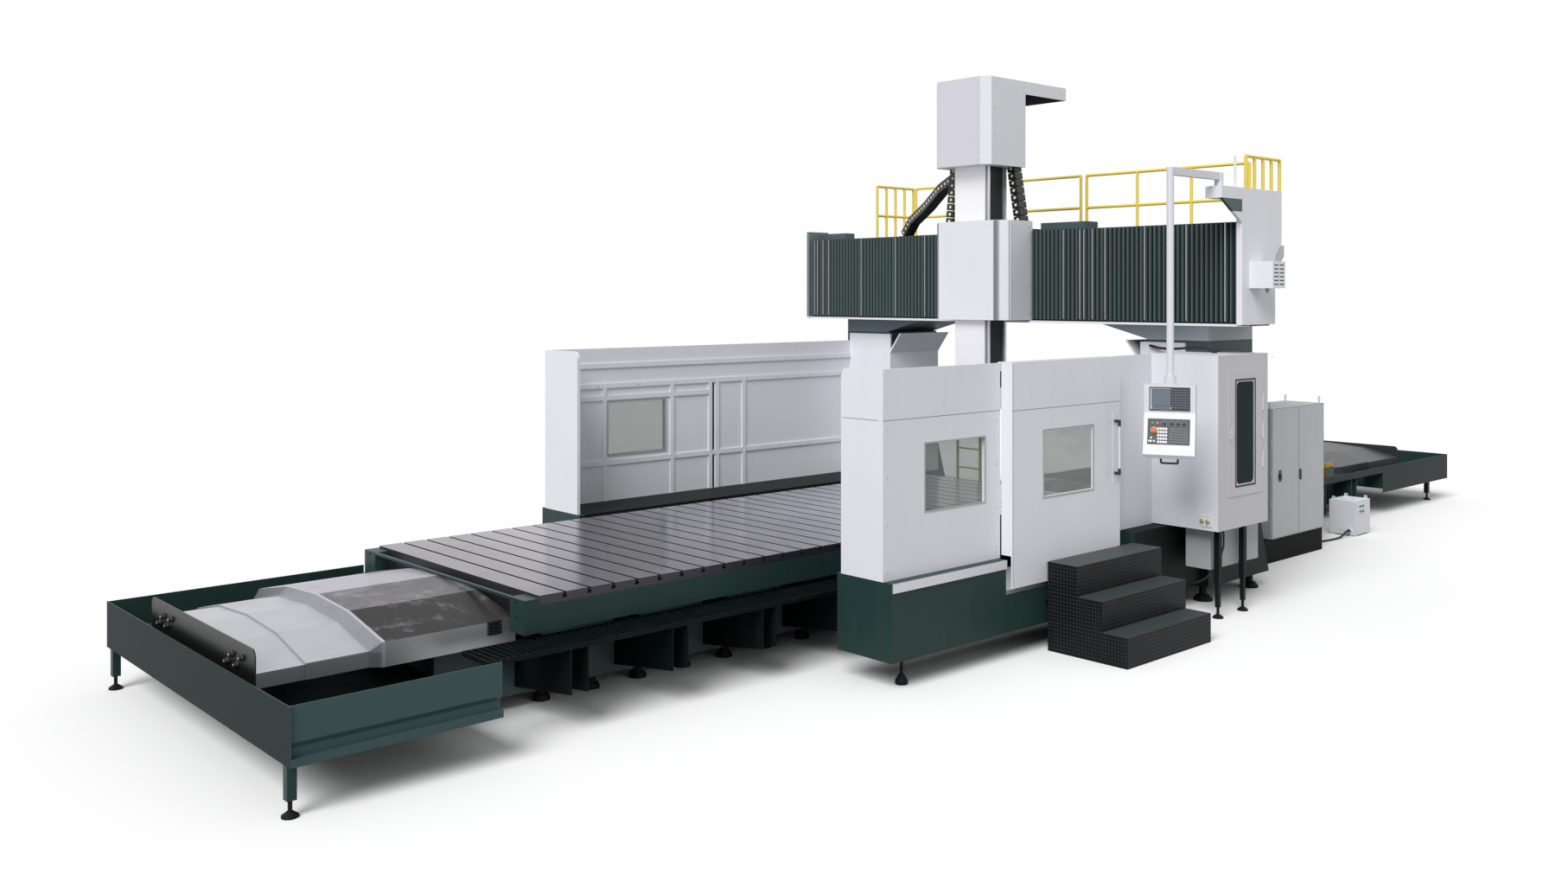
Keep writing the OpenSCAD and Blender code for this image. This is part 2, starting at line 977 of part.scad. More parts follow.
module table() {
  half = table_w / 2 - skirt_t;
  frame_z = [table_low, plate_low - gap];
  truck_step = (table_l - 2 * truck_inset - truck_l) / (truck_n - 1);
  color("#8d8a90") {
    along_y(-half, half)
      difference() {
        area([table_front, table_rear], [plate_low, table_top]);
        for (i = [0:slot_n - 1]) slot_profile(slot_first + i * slot_pitch);
      }
    for (y = [-half + table_rib / 2, -way_y, 0, way_y, half - table_rib / 2])
      block([table_front, table_rear], about(y, table_rib), frame_z);
    for (i = [0:truck_n - 1])
      block(from(table_front + truck_inset + i * truck_step, truck_l), [-half, half],
        frame_z);
    for (x = [table_front, table_rear - table_rib])
      block([x, x + table_rib], [-half, half], frame_z);
  }
  color(dark_paint)
    for (i = [0:truck_n - 1], y = [-way_y, 0, way_y])
      table_truck(table_front + truck_inset + i * truck_step, y);
  color(steel)
    difference() {
      block(about(table_mid, nut_l), about(screw_y, nut_w),
        [bed_deck + nut_floor_gap, plate_low - gap]);
      translate([table_mid - nut_l, screw_y, screw_z])
        rotate([0, 90, 0]) cylinder(d = screw_d + 2 * truck_gap, h = 2 * nut_l);
    }
}

// Corner boxes and top bar of the hood at one end of the table
module table_hood(x, bar_x) {
  half = table_w / 2;
  top = table_top - hood_drop;
  block(bar_x, [-half, half], [table_top - hood_bar, top]);
  both_sides()
    difference() {
      block(x, [half - hood_box_w, half - skirt_t], [skirt_low, top]);
      block(x + [skirt_t, -skirt_t], [half - hood_box_w + skirt_t, half],
        [skirt_low - 1, top - skirt_t]);
    }
}

module table_skirt() {
  half = table_w / 2;
  color(green_paint) {
    both_sides()
      block([hood_front, hood_rear], [half - skirt_t, half], [skirt_low, skirt_low + skirt_h]);
    table_hood([hood_front, table_front], from(hood_front, hood_edge));
    table_hood([table_rear, hood_rear], from(hood_rear - hood_edge, hood_edge));
    both_sides()
      for (x = [[hood_front, table_front], [table_rear, hood_rear]])
        block(x, [half - skirt_t, half], [skirt_low + skirt_h, table_top - hood_drop]);
  }
}

// Bed and guides

module bed() {
  cell = (2 * bed_half - 5 * bed_wall) / 4;
  color(dark_paint)
    along_x(bed_front, bed_rear)
      difference() {
        union() {
          area([-bed_half, bed_half], [bed_bottom, bed_deck]);
          for (y = [-way_y, 0, way_y]) area(about(y, way_w), [bed_bottom, way_z]);
        }
        for (i = [0:3])
          area(from(-bed_half + bed_wall + i * (cell + bed_wall), cell),
            [bed_bottom + bed_wall, bed_deck - bed_wall]);
      }
}

// Bearing block that holds one end of the longitudinal screw
module screw_bearing(x) {
  difference() {
    block([x, x + bearing_l], about(screw_y, bearing_w), [bed_deck, screw_z + screw_d]);
    translate([x - 1, screw_y, screw_z])
      rotate([0, 90, 0]) cylinder(d = screw_d + 2 * gap, h = bearing_l + 2);
  }
}

module guide_rails() {
  color(steel) {
    for (y = [-way_y, 0, way_y])
      block([bed_front, bed_rear], about(y, rail_w), [way_z, way_z + rail_h]);
    translate([bed_front, screw_y, screw_z])
      rotate([0, 90, 0]) cylinder(d = screw_d, h = bed_rear - bed_front);
    for (z = beam_rail_z)
      block([beam_front - beam_rail_x, beam_front], [-beam_half, beam_half], about(z, rail_w));
  }
  color(steel)
    translate([beam_screw_x, -beam_half, beam_screw_z])
      rotate([-90, 0, 0]) cylinder(d = beam_screw_d, h = 2 * beam_half);
  color(dark_paint) {
    both_sides()
      difference() {
        block([carriage_back, beam_front], [beam_half - bearing_l, beam_half],
          about(beam_screw_z, bearing_w));
        translate([beam_screw_x, beam_half - bearing_l - 1, beam_screw_z])
          rotate([-90, 0, 0]) cylinder(d = beam_screw_d + 2 * gap, h = bearing_l + 2);
      }
    screw_bearing(bed_front);
    screw_bearing(bed_rear - bearing_l);
  }
}

module levelling_feet() {
  color(black) {
    for (i = [-pads_front:pads_rear], y = [-way_y, way_y])
      screw_foot(i * pad_pitch, y, bed_bottom, pad_r, pad_stem_r);
    for (i = [-floor(pads_front / pad_skip):floor(pads_rear / pad_skip)])
      screw_foot(i * pad_skip * pad_pitch, 0, bed_bottom, pad_r, pad_stem_r);
    both_sides() {
      screw_foot(tray_front + leg_inset, tray_half - 2 * leg_inset, foot_h, foot_pad_r, foot_stem_r);
      screw_foot(rear_end - 5 * leg_w, rear_half - 3 * leg_w, foot_h, foot_pad_r, foot_stem_r);
      for (x = [column_front + column_foot_inset, column_back + column_toe - column_foot_inset],
        y = [column_in + column_foot_inset, column_out - column_foot_inset])
        screw_foot(x, y, column_foot, column_foot_r, pad_stem_r);
    }
    for (x = guard_feet_x, y = [foot_pad_r - guard_out, left_base_out - 2 * foot_pad_r])
      screw_foot(x, y, base_low, foot_pad_r, foot_stem_r);
    for (x = mag_leg_x) {
      screw_foot(x, mag_leg_y, foot_h, foot_pad_r, foot_stem_r);
      block(about(x, mag_leg_slim), about(mag_leg_y, mag_leg_slim),
        [foot_h, mag_leg_joint]);
      block(about(x, mag_leg_w), about(mag_leg_y, mag_leg_w),
        [mag_leg_joint, mag_low]);
    }
  }
}

// Trays and walkways

// Folded side wall: plain upper plate, recess and outward lower lip
module tray_wall_profile() {
  inner = tray_half - tray_recess;
  fold = tray_rim - tray_upper;
  area([tray_half - tray_t, tray_half], [fold, tray_rim]);
  polygon([[tray_half - tray_t, fold], [tray_half, fold],
    [inner, fold - tray_bevel], [inner - tray_t, fold - tray_bevel]]);
  area([inner - tray_t, inner], [tray_low, fold - tray_bevel]);
  area([inner - 1, tray_half + tray_lip], [tray_low + tray_lip_h - tray_t, tray_low + tray_lip_h]);
  area([tray_half + tray_lip - tray_t, tray_half + tray_lip], [tray_low, tray_low + tray_lip_h]);
}

module front_tray() {
  inner = tray_half - tray_recess - tray_t;
  color(green_paint) {
    along_x(tray_front + tray_t, tray_back + tray_run) tray_wall_profile();
    along_x(tray_front + tray_t, tray_back) mirror([1, 0]) tray_wall_profile();
    block([tray_front, tray_front + tray_t], (tray_half + tray_lip) * [-1, 1], [tray_low, tray_rim]);
    block([tray_front + tray_t, tray_back], [-inner, inner], [tray_floor - tray_t, tray_floor]);
    both_sides()
      block(about(tray_front + leg_inset, leg_w), about(tray_half - 2 * leg_inset, leg_w),
        [foot_h, tray_floor - tray_t]);
  }
}

// Brackets that carry a walkway: two plates, tapering outwards
module walk_bracket(x, out, top) {
  for (dx = [0, bracket_pair])
    along_x(x + dx, x + dx + bracket_t)
      polygon([[bed_half, bracket_low_in], [out, bracket_low_out], [out, top], [rear_inner, top],
        [rear_inner, bracket_dip], [bed_half, bracket_dip]]);
}

// Valve block with its pipe fittings, on the right side channel of the rear tray
module valve_block() {
  color("goldenrod") {
    block(from(valve_x, valve_l), about(-valve_y, valve_w), from(rear_pan_z, valve_h));
    for (i = [0:valve_n - 1])
      translate([valve_x + (i + 0.5) * valve_l / valve_n, -valve_y, rear_pan_z + valve_h])
        cylinder(r = valve_r, h = valve_rise);
  }
}

module rear_tray() {
  wall = rear_half - tray_t;
  tail = bed_rear + tail_gap;
  leg_x = rear_end - 5 * leg_w;
  color(green_paint) {
    both_sides() {
      block([rear_pan_front, tail + tray_t], [rear_inner, wall], [rear_pan_z - tray_t, rear_pan_z]);
      block([rear_pan_front, tail], [wall, rear_half], [rear_pan_z - tray_t, tray_rim]);
      block([tail, rear_end - tray_t], [wall, rear_half], [tray_low, tray_rim]);
      for (i = [0:rear_bracket_n - 1])
        walk_bracket(rear_pan_front + i * bracket_pitch, wall, rear_pan_z - tray_t);
      block(about(leg_x, leg_w), about(rear_half - 3 * leg_w, leg_w), [foot_h, tray_floor - tray_t]);
    }
    block([tail, rear_end - tray_t], [-wall, wall], [tray_floor - tray_t, tray_floor]);
    block([rear_end - tray_t, rear_end], [-rear_half, rear_half], [tray_low, tray_rim]);
    block([tail, tail + tray_t], [-wall, wall], [tray_floor, bracket_dip]);
    both_sides()
      block([tail, tail + tray_t], [rear_inner, wall], [bracket_dip, rear_pan_z - tray_t]);
  }
  valve_block();
}

// Grating: an outer frame with bars across it
module grating_profile() {
  n = floor((walk_rear - walk_front - walk_frame) / bar_pitch);
  difference() {
    area([walk_front, walk_rear], [walk_in, walk_out]);
    for (i = [0:n - 1])
      area(from(walk_front + walk_frame + i * bar_pitch, bar_pitch - walk_frame),
        [walk_in + walk_frame, walk_out - walk_frame]);
  }
}

module walkways() {
  color(green_paint)
    both_sides() {
      translate([0, 0, walk_z - walk_t])
        linear_extrude(walk_t) grating_profile();
      for (i = [0:bracket_n])
        walk_bracket(bracket_first + i * bracket_pitch, walk_out, walk_z - walk_t);
    }
}

// Columns and crossbeam

module column() {
  difference() {
    along_y(column_in, column_out)
      polygon([[column_front, column_foot], [column_front, column_top], [column_back, column_top],
        [column_back, column_knee], [column_back + column_toe, column_foot]]);
    for (z = [column_foot + 2 * column_wall, column_foot + column_pocket + 4 * column_wall,
         column_foot + 2 * column_pocket + 6 * column_wall])
      block([column_front + column_wall, column_back + column_toe + 1],
        [column_in + column_wall, column_out - column_wall], [z, z + column_pocket]);
  }
}

module columns() {
  color(dark_paint)
    both_sides() {
      column();
      block([column_front + column_wall, column_back - column_wall], [bed_half + gap, column_in],
        [column_foot, bed_deck]);
    }
}

module crossbeam() {
  cell = (2 * beam_half - beam_wall) / beam_pockets;
  color("#566567") {
    difference() {
      translate([0, 0, beam_low])
        linear_extrude(beam_top - beam_low)
          polygon([[beam_front, beam_half], [beam_front, -beam_half], [right_cover_x, -beam_half],
            [column_back, -column_out], [column_back, beam_half]]);
      for (i = [0:beam_pockets - 1])
        block([beam_front + 2 * beam_wall, column_back + 1],
          from(-beam_half + beam_wall + i * cell, cell - beam_wall),
          [beam_low + 3 * beam_wall, beam_top - 3 * beam_wall]);
    }
    both_sides()
      along_x(column_front, column_back)
        polygon([[column_in - haunch_reach, beam_low], [column_in + beam_wall, column_top],
          [column_out, column_top], [column_out, beam_low]]);
  }
}

// Zigzag band between y0 and y1
module bellows(y0, y1) {
  n = floor((y1 - y0) / pleat);
  ridge = [for (i = [0:2 * n]) [i % 2 == 0 ? pleat_depth : 0, y0 + i * (y1 - y0) / (2 * n)]];
  back = [for (p = reversed(ridge)) p + [bellows_t, 0]];
  translate([0, 0, bellows_low])
    linear_extrude(bellows_high - bellows_low) polygon(concat(ridge, back));
}

module bellows_left() {
  color(dark_paint) bellows(saddle_half + gap, beam_half - gap);
}

module bellows_right() {
  color(dark_paint) mirror([0, 1, 0]) bellows(saddle_half + gap, beam_half - gap);
}

// Vented box on the right end cover
module vented_box() {
  x = from(louvre_box_x, louvre_box[0]);
  y = from(-beam_half - right_cover_t - louvre_box[1], louvre_box[1]);
  pitch = louvre_box[2] / (louvre_n + 1);
  difference() {
    block(x, y, from(louvre_box_z, louvre_box[2]));
    for (i = [1:louvre_n], dx = louvre_at)
      block(from(x[0] + louvre_box[0] * dx, louvre_box[0] * louvre_share), from(y[0] - 1, louvre_depth),
        about(louvre_box_z + i * pitch, pitch / 3));
  }
}

module beam_end_covers() {
  right_top = beam_top + right_cover_rise;
  drip_y = [-beam_half - right_cover_t / 2, beam_half + end_plate / 2];
  color(white_paint) {
    block([drip_front, left_plate_x], [beam_half, beam_half + end_plate],
      [beam_low, beam_top + left_plate_rise]);
    along_y(-beam_half - right_cover_t, -beam_half)
      polygon([[drip_front, beam_low + right_cover_low], [right_cover_x, beam_low + right_cover_low],
        [right_cover_x, beam_low + right_cover_shelf],
        [right_cover_x + right_cover_step, beam_low + right_cover_shelf + right_cover_step],
        [right_cover_x + right_cover_step, right_top], [drip_front, right_top]]);
    block([drip_rail_x, beam_front], drip_y, [beam_low, beam_low + drip_t]);
    block(from(drip_rail_x, drip_t), drip_y, [beam_low, beam_low + drip_lip]);
    vented_box();
  }
  color(dark_paint)
    block([beam_front, beam_front + left_block_x], [beam_half - left_block_l, beam_half],
      [beam_top, beam_top + left_block_h]);
}

// Upright posts with a top and a middle rail between two points
module handrail(p, q, pitch) {
  n = max(1, round(norm(q - p) / pitch));
  lift = [0, 0, handrail_h];
  for (i = [0:n])
    bar(p + (q - p) * i / n, p + (q - p) * i / n + lift, handrail_r);
  for (h = [handrail_mid, handrail_h])
    bar(p + [0, 0, h], q + [0, 0, h], handrail_r);
}

module platform() {
  back = column_back + deck_w;
  deck = deck_z + deck_t;
  rail_x = back - handrail_inset;
  rail_ends = [deck_right + handrail_inset, deck_left - handrail_inset];
  color("#6a7274") {
    block([column_back, back], [deck_right, deck_left], [deck_z, deck]);
    for (y = [deck_right, -column_in / 2, column_in / 2, deck_left - beam_wall])
      along_y(y, y + beam_wall)
        polygon([[column_back, beam_low], [column_back, deck_z], [back, deck_z], [back, deck_z - kick_h]]);
  }
  color("gold") {
    for (run = rail_runs)
      handrail([rail_x, run[0], deck], [rail_x, run[1], deck], post_pitch);
    for (y = rail_ends)
      handrail([column_back + 3 * handrail_inset, y, deck], [rail_x, y, deck], end_post_pitch);
    for (y = [ladder_y, ladder_y + ladder_w])
      bar([back + rung_r, y, 0], [back + rung_r, y, deck + handrail_h], handrail_r);
    for (z = [ladder_pitch:ladder_pitch:deck_z])
      bar([back + rung_r, ladder_y, z], [back + rung_r, ladder_y + ladder_w, z], rung_r);
  }
}

// Saddle, ram and spindle

// Truck on the saddle's back, astride a crossbeam rail
module beam_truck(y, z) {
  along_y(y, y + truck_l)
    difference() {
      area([carriage_back, beam_front - truck_skirt], about(z, truck_w));
      area([beam_front - beam_rail_x - truck_gap, beam_front], about(z, rail_w + 2 * truck_gap));
    }
}

// Truck on a cheek of the saddle, astride a ram rail
module ram_truck(x, z) {
  translate([0, 0, z])
    linear_extrude(ram_truck_l)
      difference() {
        area(about(x, ram_truck_w), [ram_half + ram_truck_skirt, cheek_in]);
        area(about(x, ram_rail_w + 2 * truck_gap), [ram_half, ram_half + ram_rail_h + truck_gap]);
      }
}

module saddle() {
  color(dark_paint) {
    block([carriage_front, carriage_back], [-carriage_half, carriage_half], [carriage_low, carriage_high]);
    both_sides()
      block([cheek_front, carriage_front], [cheek_in, cheek_out], [carriage_low, carriage_high]);
    block([carriage_front, carriage_back], [-carriage_half, carriage_half], [carriage_high, wing_z]);
    block([carriage_front, wing_x + wing_w], [-carriage_half, carriage_half], from(wing_z, wing_t));
    block(from(wing_x, wing_w), from(carriage_half, wing_reach), from(wing_z, wing_t));
    difference() {
      block([tray_wing_x, wing_x + wing_w], from(-carriage_half - tray_wing_l, tray_wing_l),
        from(wing_z, tray_wing_h));
      block([tray_wing_x, wing_x + wing_w] + [wing_t, -wing_t],
        from(-carriage_half - tray_wing_l + wing_t, tray_wing_l - 2 * wing_t),
        from(wing_z + wing_t, tray_wing_h));
    }
  }
  color(steel) {
    for (z = beam_rail_z, y = [-carriage_half, carriage_half - truck_l]) beam_truck(y, z);
    both_sides()
      for (x = ram_rail_x, z = ram_truck_z) ram_truck(x, z);
    difference() {
      block([carriage_back, beam_front - truck_gap], about(0, nut_w), about(beam_screw_z, nut_w));
      translate([beam_screw_x, -nut_w, beam_screw_z])
        rotate([-90, 0, 0]) cylinder(d = beam_screw_d + 2 * truck_gap, h = 2 * nut_w);
    }
  }
}

module saddle_cover() {
  color(white_paint) {
    translate([0, 0, saddle_low])
      linear_extrude(saddle_top - saddle_low)
        polygon(concat(hood_outline(saddle_front, saddle_back, saddle_half, saddle_chamfer, 0),
          reversed(hood_outline(saddle_front, saddle_back, saddle_half, saddle_chamfer, sheet))));
    translate([0, 0, saddle_top - sheet])
      linear_extrude(sheet)
        difference() {
          polygon(hood_outline(saddle_front, saddle_back, saddle_half, saddle_chamfer, sheet / 2));
          area([ram_front - roof_clear, ram_back + roof_clear], [-roof_hole_y, roof_hole_y]);
        }
  }
}

module ram() {
  color(white_paint)
    difference() {
      block([ram_front, ram_back], [-ram_half, ram_half], [ram_low, ram_top]);
      translate([ram_x, 0, ram_low - 1]) cylinder(r = shaft_r, h = shaft_l + 2);
      block([ram_front + ram_wall, ram_back - ram_wall], [ram_wall - ram_half, ram_half - ram_wall],
        [ram_low + shaft_l + 2 * ram_wall, ram_top - ram_wall]);
    }
  color(steel)
    both_sides()
      for (x = ram_rail_x)
        block(about(x, ram_rail_w), from(ram_half, ram_rail_h), [ram_rail_low, ram_top]);
  color(dark_paint) {
    block(from(ram_back, rack_t), about(0, rack_w), [ram_rail_low, ram_top]);
    translate([ram_x, 0, ram_top]) cylinder(r = motor_r, h = motor_h);
  }
}

// Closed outline of the head cover, drawn in by d
function head_outline(d) = hood_outline(head_front, head_back - d, head_half, head_chamfer, d);

module head_cover() {
  color(white_paint) {
    translate([0, 0, head_low])
      linear_extrude(head_h)
        difference() {
          polygon(head_outline(0));
          polygon(head_outline(sheet));
        }
    translate([0, 0, head_low])
      linear_extrude(sheet)
        difference() {
          polygon(head_outline(sheet / 2));
          area([ram_front - gap, ram_back + rack_t + gap], [-1, 1] * (ram_half + ram_rail_h + gap));
        }
    translate([0, 0, head_top - sheet])
      linear_extrude(sheet) polygon(head_outline(sheet / 2));
    difference() {
      block(from(head_back, roof_reach), [-head_half, head_half], [head_top - roof_edge, head_top]);
      block(from(head_back - 1, roof_reach + 1 - sheet), [sheet - head_half, head_half - sheet],
        [head_top - roof_edge - 1, head_top - sheet]);
    }
  }
}

module spindle() {
  nose_low = ram_low - nose_l;
  color(steel)
    translate([ram_x, 0, 0])
      difference() {
        union() {
          translate([0, 0, nose_low]) cylinder(r = nose_r, h = nose_l - gap);
          translate([0, 0, nose_low]) cylinder(r = shaft_r - shaft_gap, h = nose_l + shaft_l);
          for (side = [-1, 1])
            block(about(0, key_w), about(side * (nose_r + taper_d / 2) / 2, key_w),
              [nose_low - key_h, nose_low + key_h]);
        }
        translate([0, 0, nose_low])
          cylinder(d1 = taper_d, d2 = taper_d - taper_l * taper_rate, h = taper_l);
      }
}

// Straight run of links between two points: a core, and on it side plates with a pin through each pair
module chain_run(p, q) {
  d = q - p;
  l = norm(d);
  n = round(l / link_pitch);
  pitch = l / n;
  translate(p)
    rotate([0, acos(d[2] / l), atan2(d[1], d[0])]) {
      block(about(0, link_core), about(0, link_w - link_t), [-link_open, l + link_open]);
      for (i = [0:n - 1]) {
        for (side = [-1, 1])
          block(about(0, link_h), about(side * (link_w - link_t) / 2, link_t),
            [i * pitch + link_open, (i + 1) * pitch - link_open]);
        translate([0, link_w / 2 + link_pin_out, (i + 0.5) * pitch])
          rotate([90, 0, 0])
            cylinder(r = link_pin_r, h = link_w + 2 * link_pin_out, $fn = link_pin_sides);
      }
    }
}

module energy_chain(route) {
  for (i = [0:len(route) - 2]) chain_run(route[i], route[i + 1]);
}

// Foot that holds one end of a chain
module chain_foot(p, z) {
  block(about(p[0], chain_foot_w), about(p[1], chain_foot_w), z);
}

module energy_chains() {
  color(black) {
    chain_foot(chain_long[0], [wing_z + wing_t + gap, chain_long[0][2]]);
    for (route = [chain_left, chain_right]) chain_foot(route[0], [saddle_top + gap, route[0][2]]);
    for (route = [chain_long, chain_left, chain_right]) {
      end = route[len(route) - 1];
      chain_foot(end, [end[2], head_low - gap]);
    }
    energy_chain(chain_long);
    energy_chain(chain_left);
    energy_chain(chain_right);
  }
}

// Guards

// Closed sheet box
module sheet_box(x, y, z, t) {
  difference() {
    block(x, y, z);
    block(x + [t, -t], y + [t, -t], z + [t, -t]);
  }
}

module guard_bases() {
  color(green_paint) {
    sheet_box([guard_front, base_step], [-base_out, -base_in], [base_low, base_top], base_sheet);
    sheet_box([base_step, base_rise], [-base_out, -base_in], [base_low, sill_z - sill_t], base_sheet);
    sheet_box([base_rise, base_end], [-base_out, -base_in], [base_low, base_top], base_sheet);
    sheet_box([guard_front, base_end], [base_in, left_base_out], [base_low, base_top], base_sheet);
  }
  color(steel) {
    block([base_step, base_rise], [-base_out, -base_in], [sill_z - sill_t, sill_z]);
    block([guard_front, base_step], [-base_out - strip_t, -base_out], [base_top - strip_h, base_top]);
  }
}

// Opening for a window
module window_hole(x, y, z, w) {
  block(from(x, w), y + [-1, 1], from(z, pane_h));
}

// Front return of a guard, its upper inner corner rounded
module guard_return(outer) {
  along_x(guard_front, guard_front + panel_t) {
    area([guard_in, outer], [base_top, guard_top - return_r]);
    area([guard_in + return_r, outer], [base_top, guard_top]);
    translate([guard_in + return_r, guard_top - return_r]) circle(return_r);
  }
}

// Panel on the inner side of a column, with a lip that leans over the work space
module column_shield() {
  face = column_in - recess_t;
  along_x(base_end - recess_t, column_back) {
    area([face, column_in - gap], [base_top, shield_side_top]);
    polygon([[face, shield_side_top - recess_t], [column_in - gap, shield_side_top - recess_t],
      [column_in - shield_lean, shield_lip_z], [face - shield_lean, shield_lip_z]]);
  }
}

module guard_panels() {
  inner = guard_out - panel_t;
  shield_x = [base_end - recess_t, base_end];
  left_in = guard_left_out - panel_t;
  color(white_paint) {
    difference() {
      block([guard_front, panel_end], [-guard_out, -inner], [base_top, guard_top]);
      window_hole(fixed_pane_x, [-guard_out, -inner], pane_low, pane_w);
    }
    mirror([0, 1, 0]) guard_return(inner);
    block([panel_end, recess_front + recess_t], [-guard_out, -inner], [guard_top - header_h, guard_top]);
    block([recess_front, recess_front + recess_t], [-inner, -recess_y], [sill_z, guard_top]);
    difference() {
      block([recess_front, base_end], from(-recess_y, recess_t), [sill_z, guard_top]);
      block([base_rise, base_end + 1], [-recess_y - 1, recess_t - recess_y + 1], [sill_z - 1, base_top]);
      block(from(port_x, port_w), [-recess_y - 1, recess_t - recess_y + 1], from(port_z, port_h));
    }
    difference() {
      block([guard_front, base_end], [left_in, guard_left_out], [base_top, guard_top]);
      window_hole(left_pane_x, [left_in, guard_left_out], left_pane_z, pane_w);
    }
    guard_return(left_in);
    block(shield_x, [column_in - recess_t, left_in], [base_top, shield_top]);
    block(shield_x, [-recess_y, recess_t - column_in], [base_top, shield_top]);
    both_sides() column_shield();
    for (z = rib_z)
      block([guard_front + panel_t, base_end], [left_in - rib_t, left_in], about(z, rib_w));
    block([guard_front + panel_t, joint_x - rib_w], [left_in - rib_t, left_in], about(half_rib_z, rib_w));
    for (x = stile_x)
      block(about(x, rib_w), [left_in - rib_t, left_in], [base_top, stile_top]);
  }
}

// Pane that laps its opening all round
module pane(x, y, z, w, h, lap) {
  block(from(x - lap, w + 2 * lap), y, from(z - lap, h + 2 * lap));
}

module guard_windows() {
  right_y = gap - guard_out + panel_t;
  left_y = guard_left_out - panel_t - gap - pane_t;
  color("#7f9a98", 0.5) {
    pane(fixed_pane_x, from(right_y, pane_t), pane_low, pane_w, pane_h, pane_lap);
    pane(left_pane_x, from(left_y, pane_t), left_pane_z, pane_w, pane_h, pane_lap);
  }
}

module guard_door() {
  grip_y = -door_out - handle_off;
  color(white_paint) {
    difference() {
      block([door_left, door_right], [-door_out, -door_in], [door_low, door_high]);
      window_hole(door_pane_x, [-door_out, -door_in], pane_low, door_pane_w);
    }
    for (x = [door_left, door_right - door_return])
      block(from(x, door_return), [-door_in, -guard_out - door_clear], [door_return_low, guard_top + gap]);
    block([door_left, door_right], [-door_in, panel_t - guard_out], [guard_top + gap, door_high]);
  }
  color(steel)
    block(about(handle_x, handle_plate), [-door_out - sheet, -door_out],
      [handle_low - handle_plate, handle_low + handle_h + handle_plate]);
  color(black) {
    bar([handle_x, grip_y, handle_low], [handle_x, grip_y, handle_low + handle_h], handle_r);
    for (z = [handle_low + handle_r, handle_low + handle_h - handle_r])
      bar([handle_x, grip_y, z], [handle_x, -door_out - sheet, z], handle_r);
  }
}

module guard_door_glass() {
  color("#7f9a98", 0.5)
    pane(door_pane_x, from(gap - door_in, pane_t), pane_low, door_pane_w, pane_h, pane_lap);
}

// Outline of the stairs' side, drawn in by d
function stairs(d) =
  let (y1 = steps_back + tread_top)
  let (y2 = y1 + tread)
  let (y3 = y2 + tread)
  [[-steps_back - d, 0], [-steps_back - d, steps_n * riser - d], [-y1 + d, steps_n * riser - d],
  [-y1 + d, 2 * riser - d], [-y2 + d, 2 * riser - d],
   [-y2 + d, riser - d], [-y3 + d, riser - d], [-y3 + d, 0]];

module steps() {
  color("#3a4244")
    difference() {
      union() {
        along_x(steps_left, steps_left + steps_w) polygon(stairs(0));
        block(from(steps_left, steps_w), [-steps_back, -base_out - gap], [hook_low, hook_low + hook_h]);
      }
      translate([0, 0, -1])
        along_x(steps_left + steps_t, steps_left + steps_w - steps_t) polygon(stairs(steps_t));
    }
}

// Tool magazine

// Plan of the magazine cabinet round the column's corner, drawn in by d
// Cabinet of sheet panels, its inner rear corner cut away for the column
module magazine_cabinet() {
  wall_z = [mag_low + mag_wall + gap, mag_top - mag_wall - gap];
  front = mag_wall + gap - mag_out;
  shoulder = -column_out - gap;
  color(white_paint) {
    for (z = [mag_low, mag_top - mag_wall])
      translate([0, 0, z])
        linear_extrude(mag_wall)
          polygon([[mag_left, -mag_out], [mag_right, -mag_out], [mag_right, shoulder], [base_end, shoulder],
            [base_end, -mag_in], [mag_left, -mag_in]]);
    difference() {
      block([mag_left, mag_right], from(-mag_out, mag_wall), wall_z);
      block(from(mag_door_x + mag_door_lap, mag_door_w - 2 * mag_door_lap),
        from(-mag_out - 1, mag_wall + 2),
        from(mag_door_z + mag_door_lap, mag_door_h - 2 * mag_door_lap));
    }
    difference() {
      block([mag_left + mag_wall + gap, base_end], from(-mag_in - mag_wall, mag_wall), wall_z);
      block(from(port_x, port_w), from(-mag_in - mag_wall - 1, mag_wall + 2), from(port_z, port_h));
    }
    block(from(mag_left, mag_wall), [front, -mag_in], wall_z);
    block([base_end - mag_wall, base_end], [shoulder + gap, -mag_in - mag_wall - gap], wall_z);
    block([base_end - mag_wall, mag_right], from(shoulder - mag_wall, mag_wall), wall_z);
    block([mag_right - mag_wall, mag_right], [front, shoulder - mag_wall - gap], wall_z);
  }
  color(dark_paint)
    difference() {
      block(about(mag_mid, drive_w), [drive_y, -mag_in - mag_wall - gap], about(disc_z, drive_w));
      translate([mag_mid, drive_y - 1, disc_z])
        rotate([-90, 0, 0]) cylinder(r = disc_shaft_r + shaft_gap, h = drive_bore + 1);
    }
  color("#9a9da0")
    sheet_box(from(under_box_x, under_box[0]), from(under_box_y, under_box[1]),
      [mag_low - under_box[2], mag_low - gap], sheet);
}

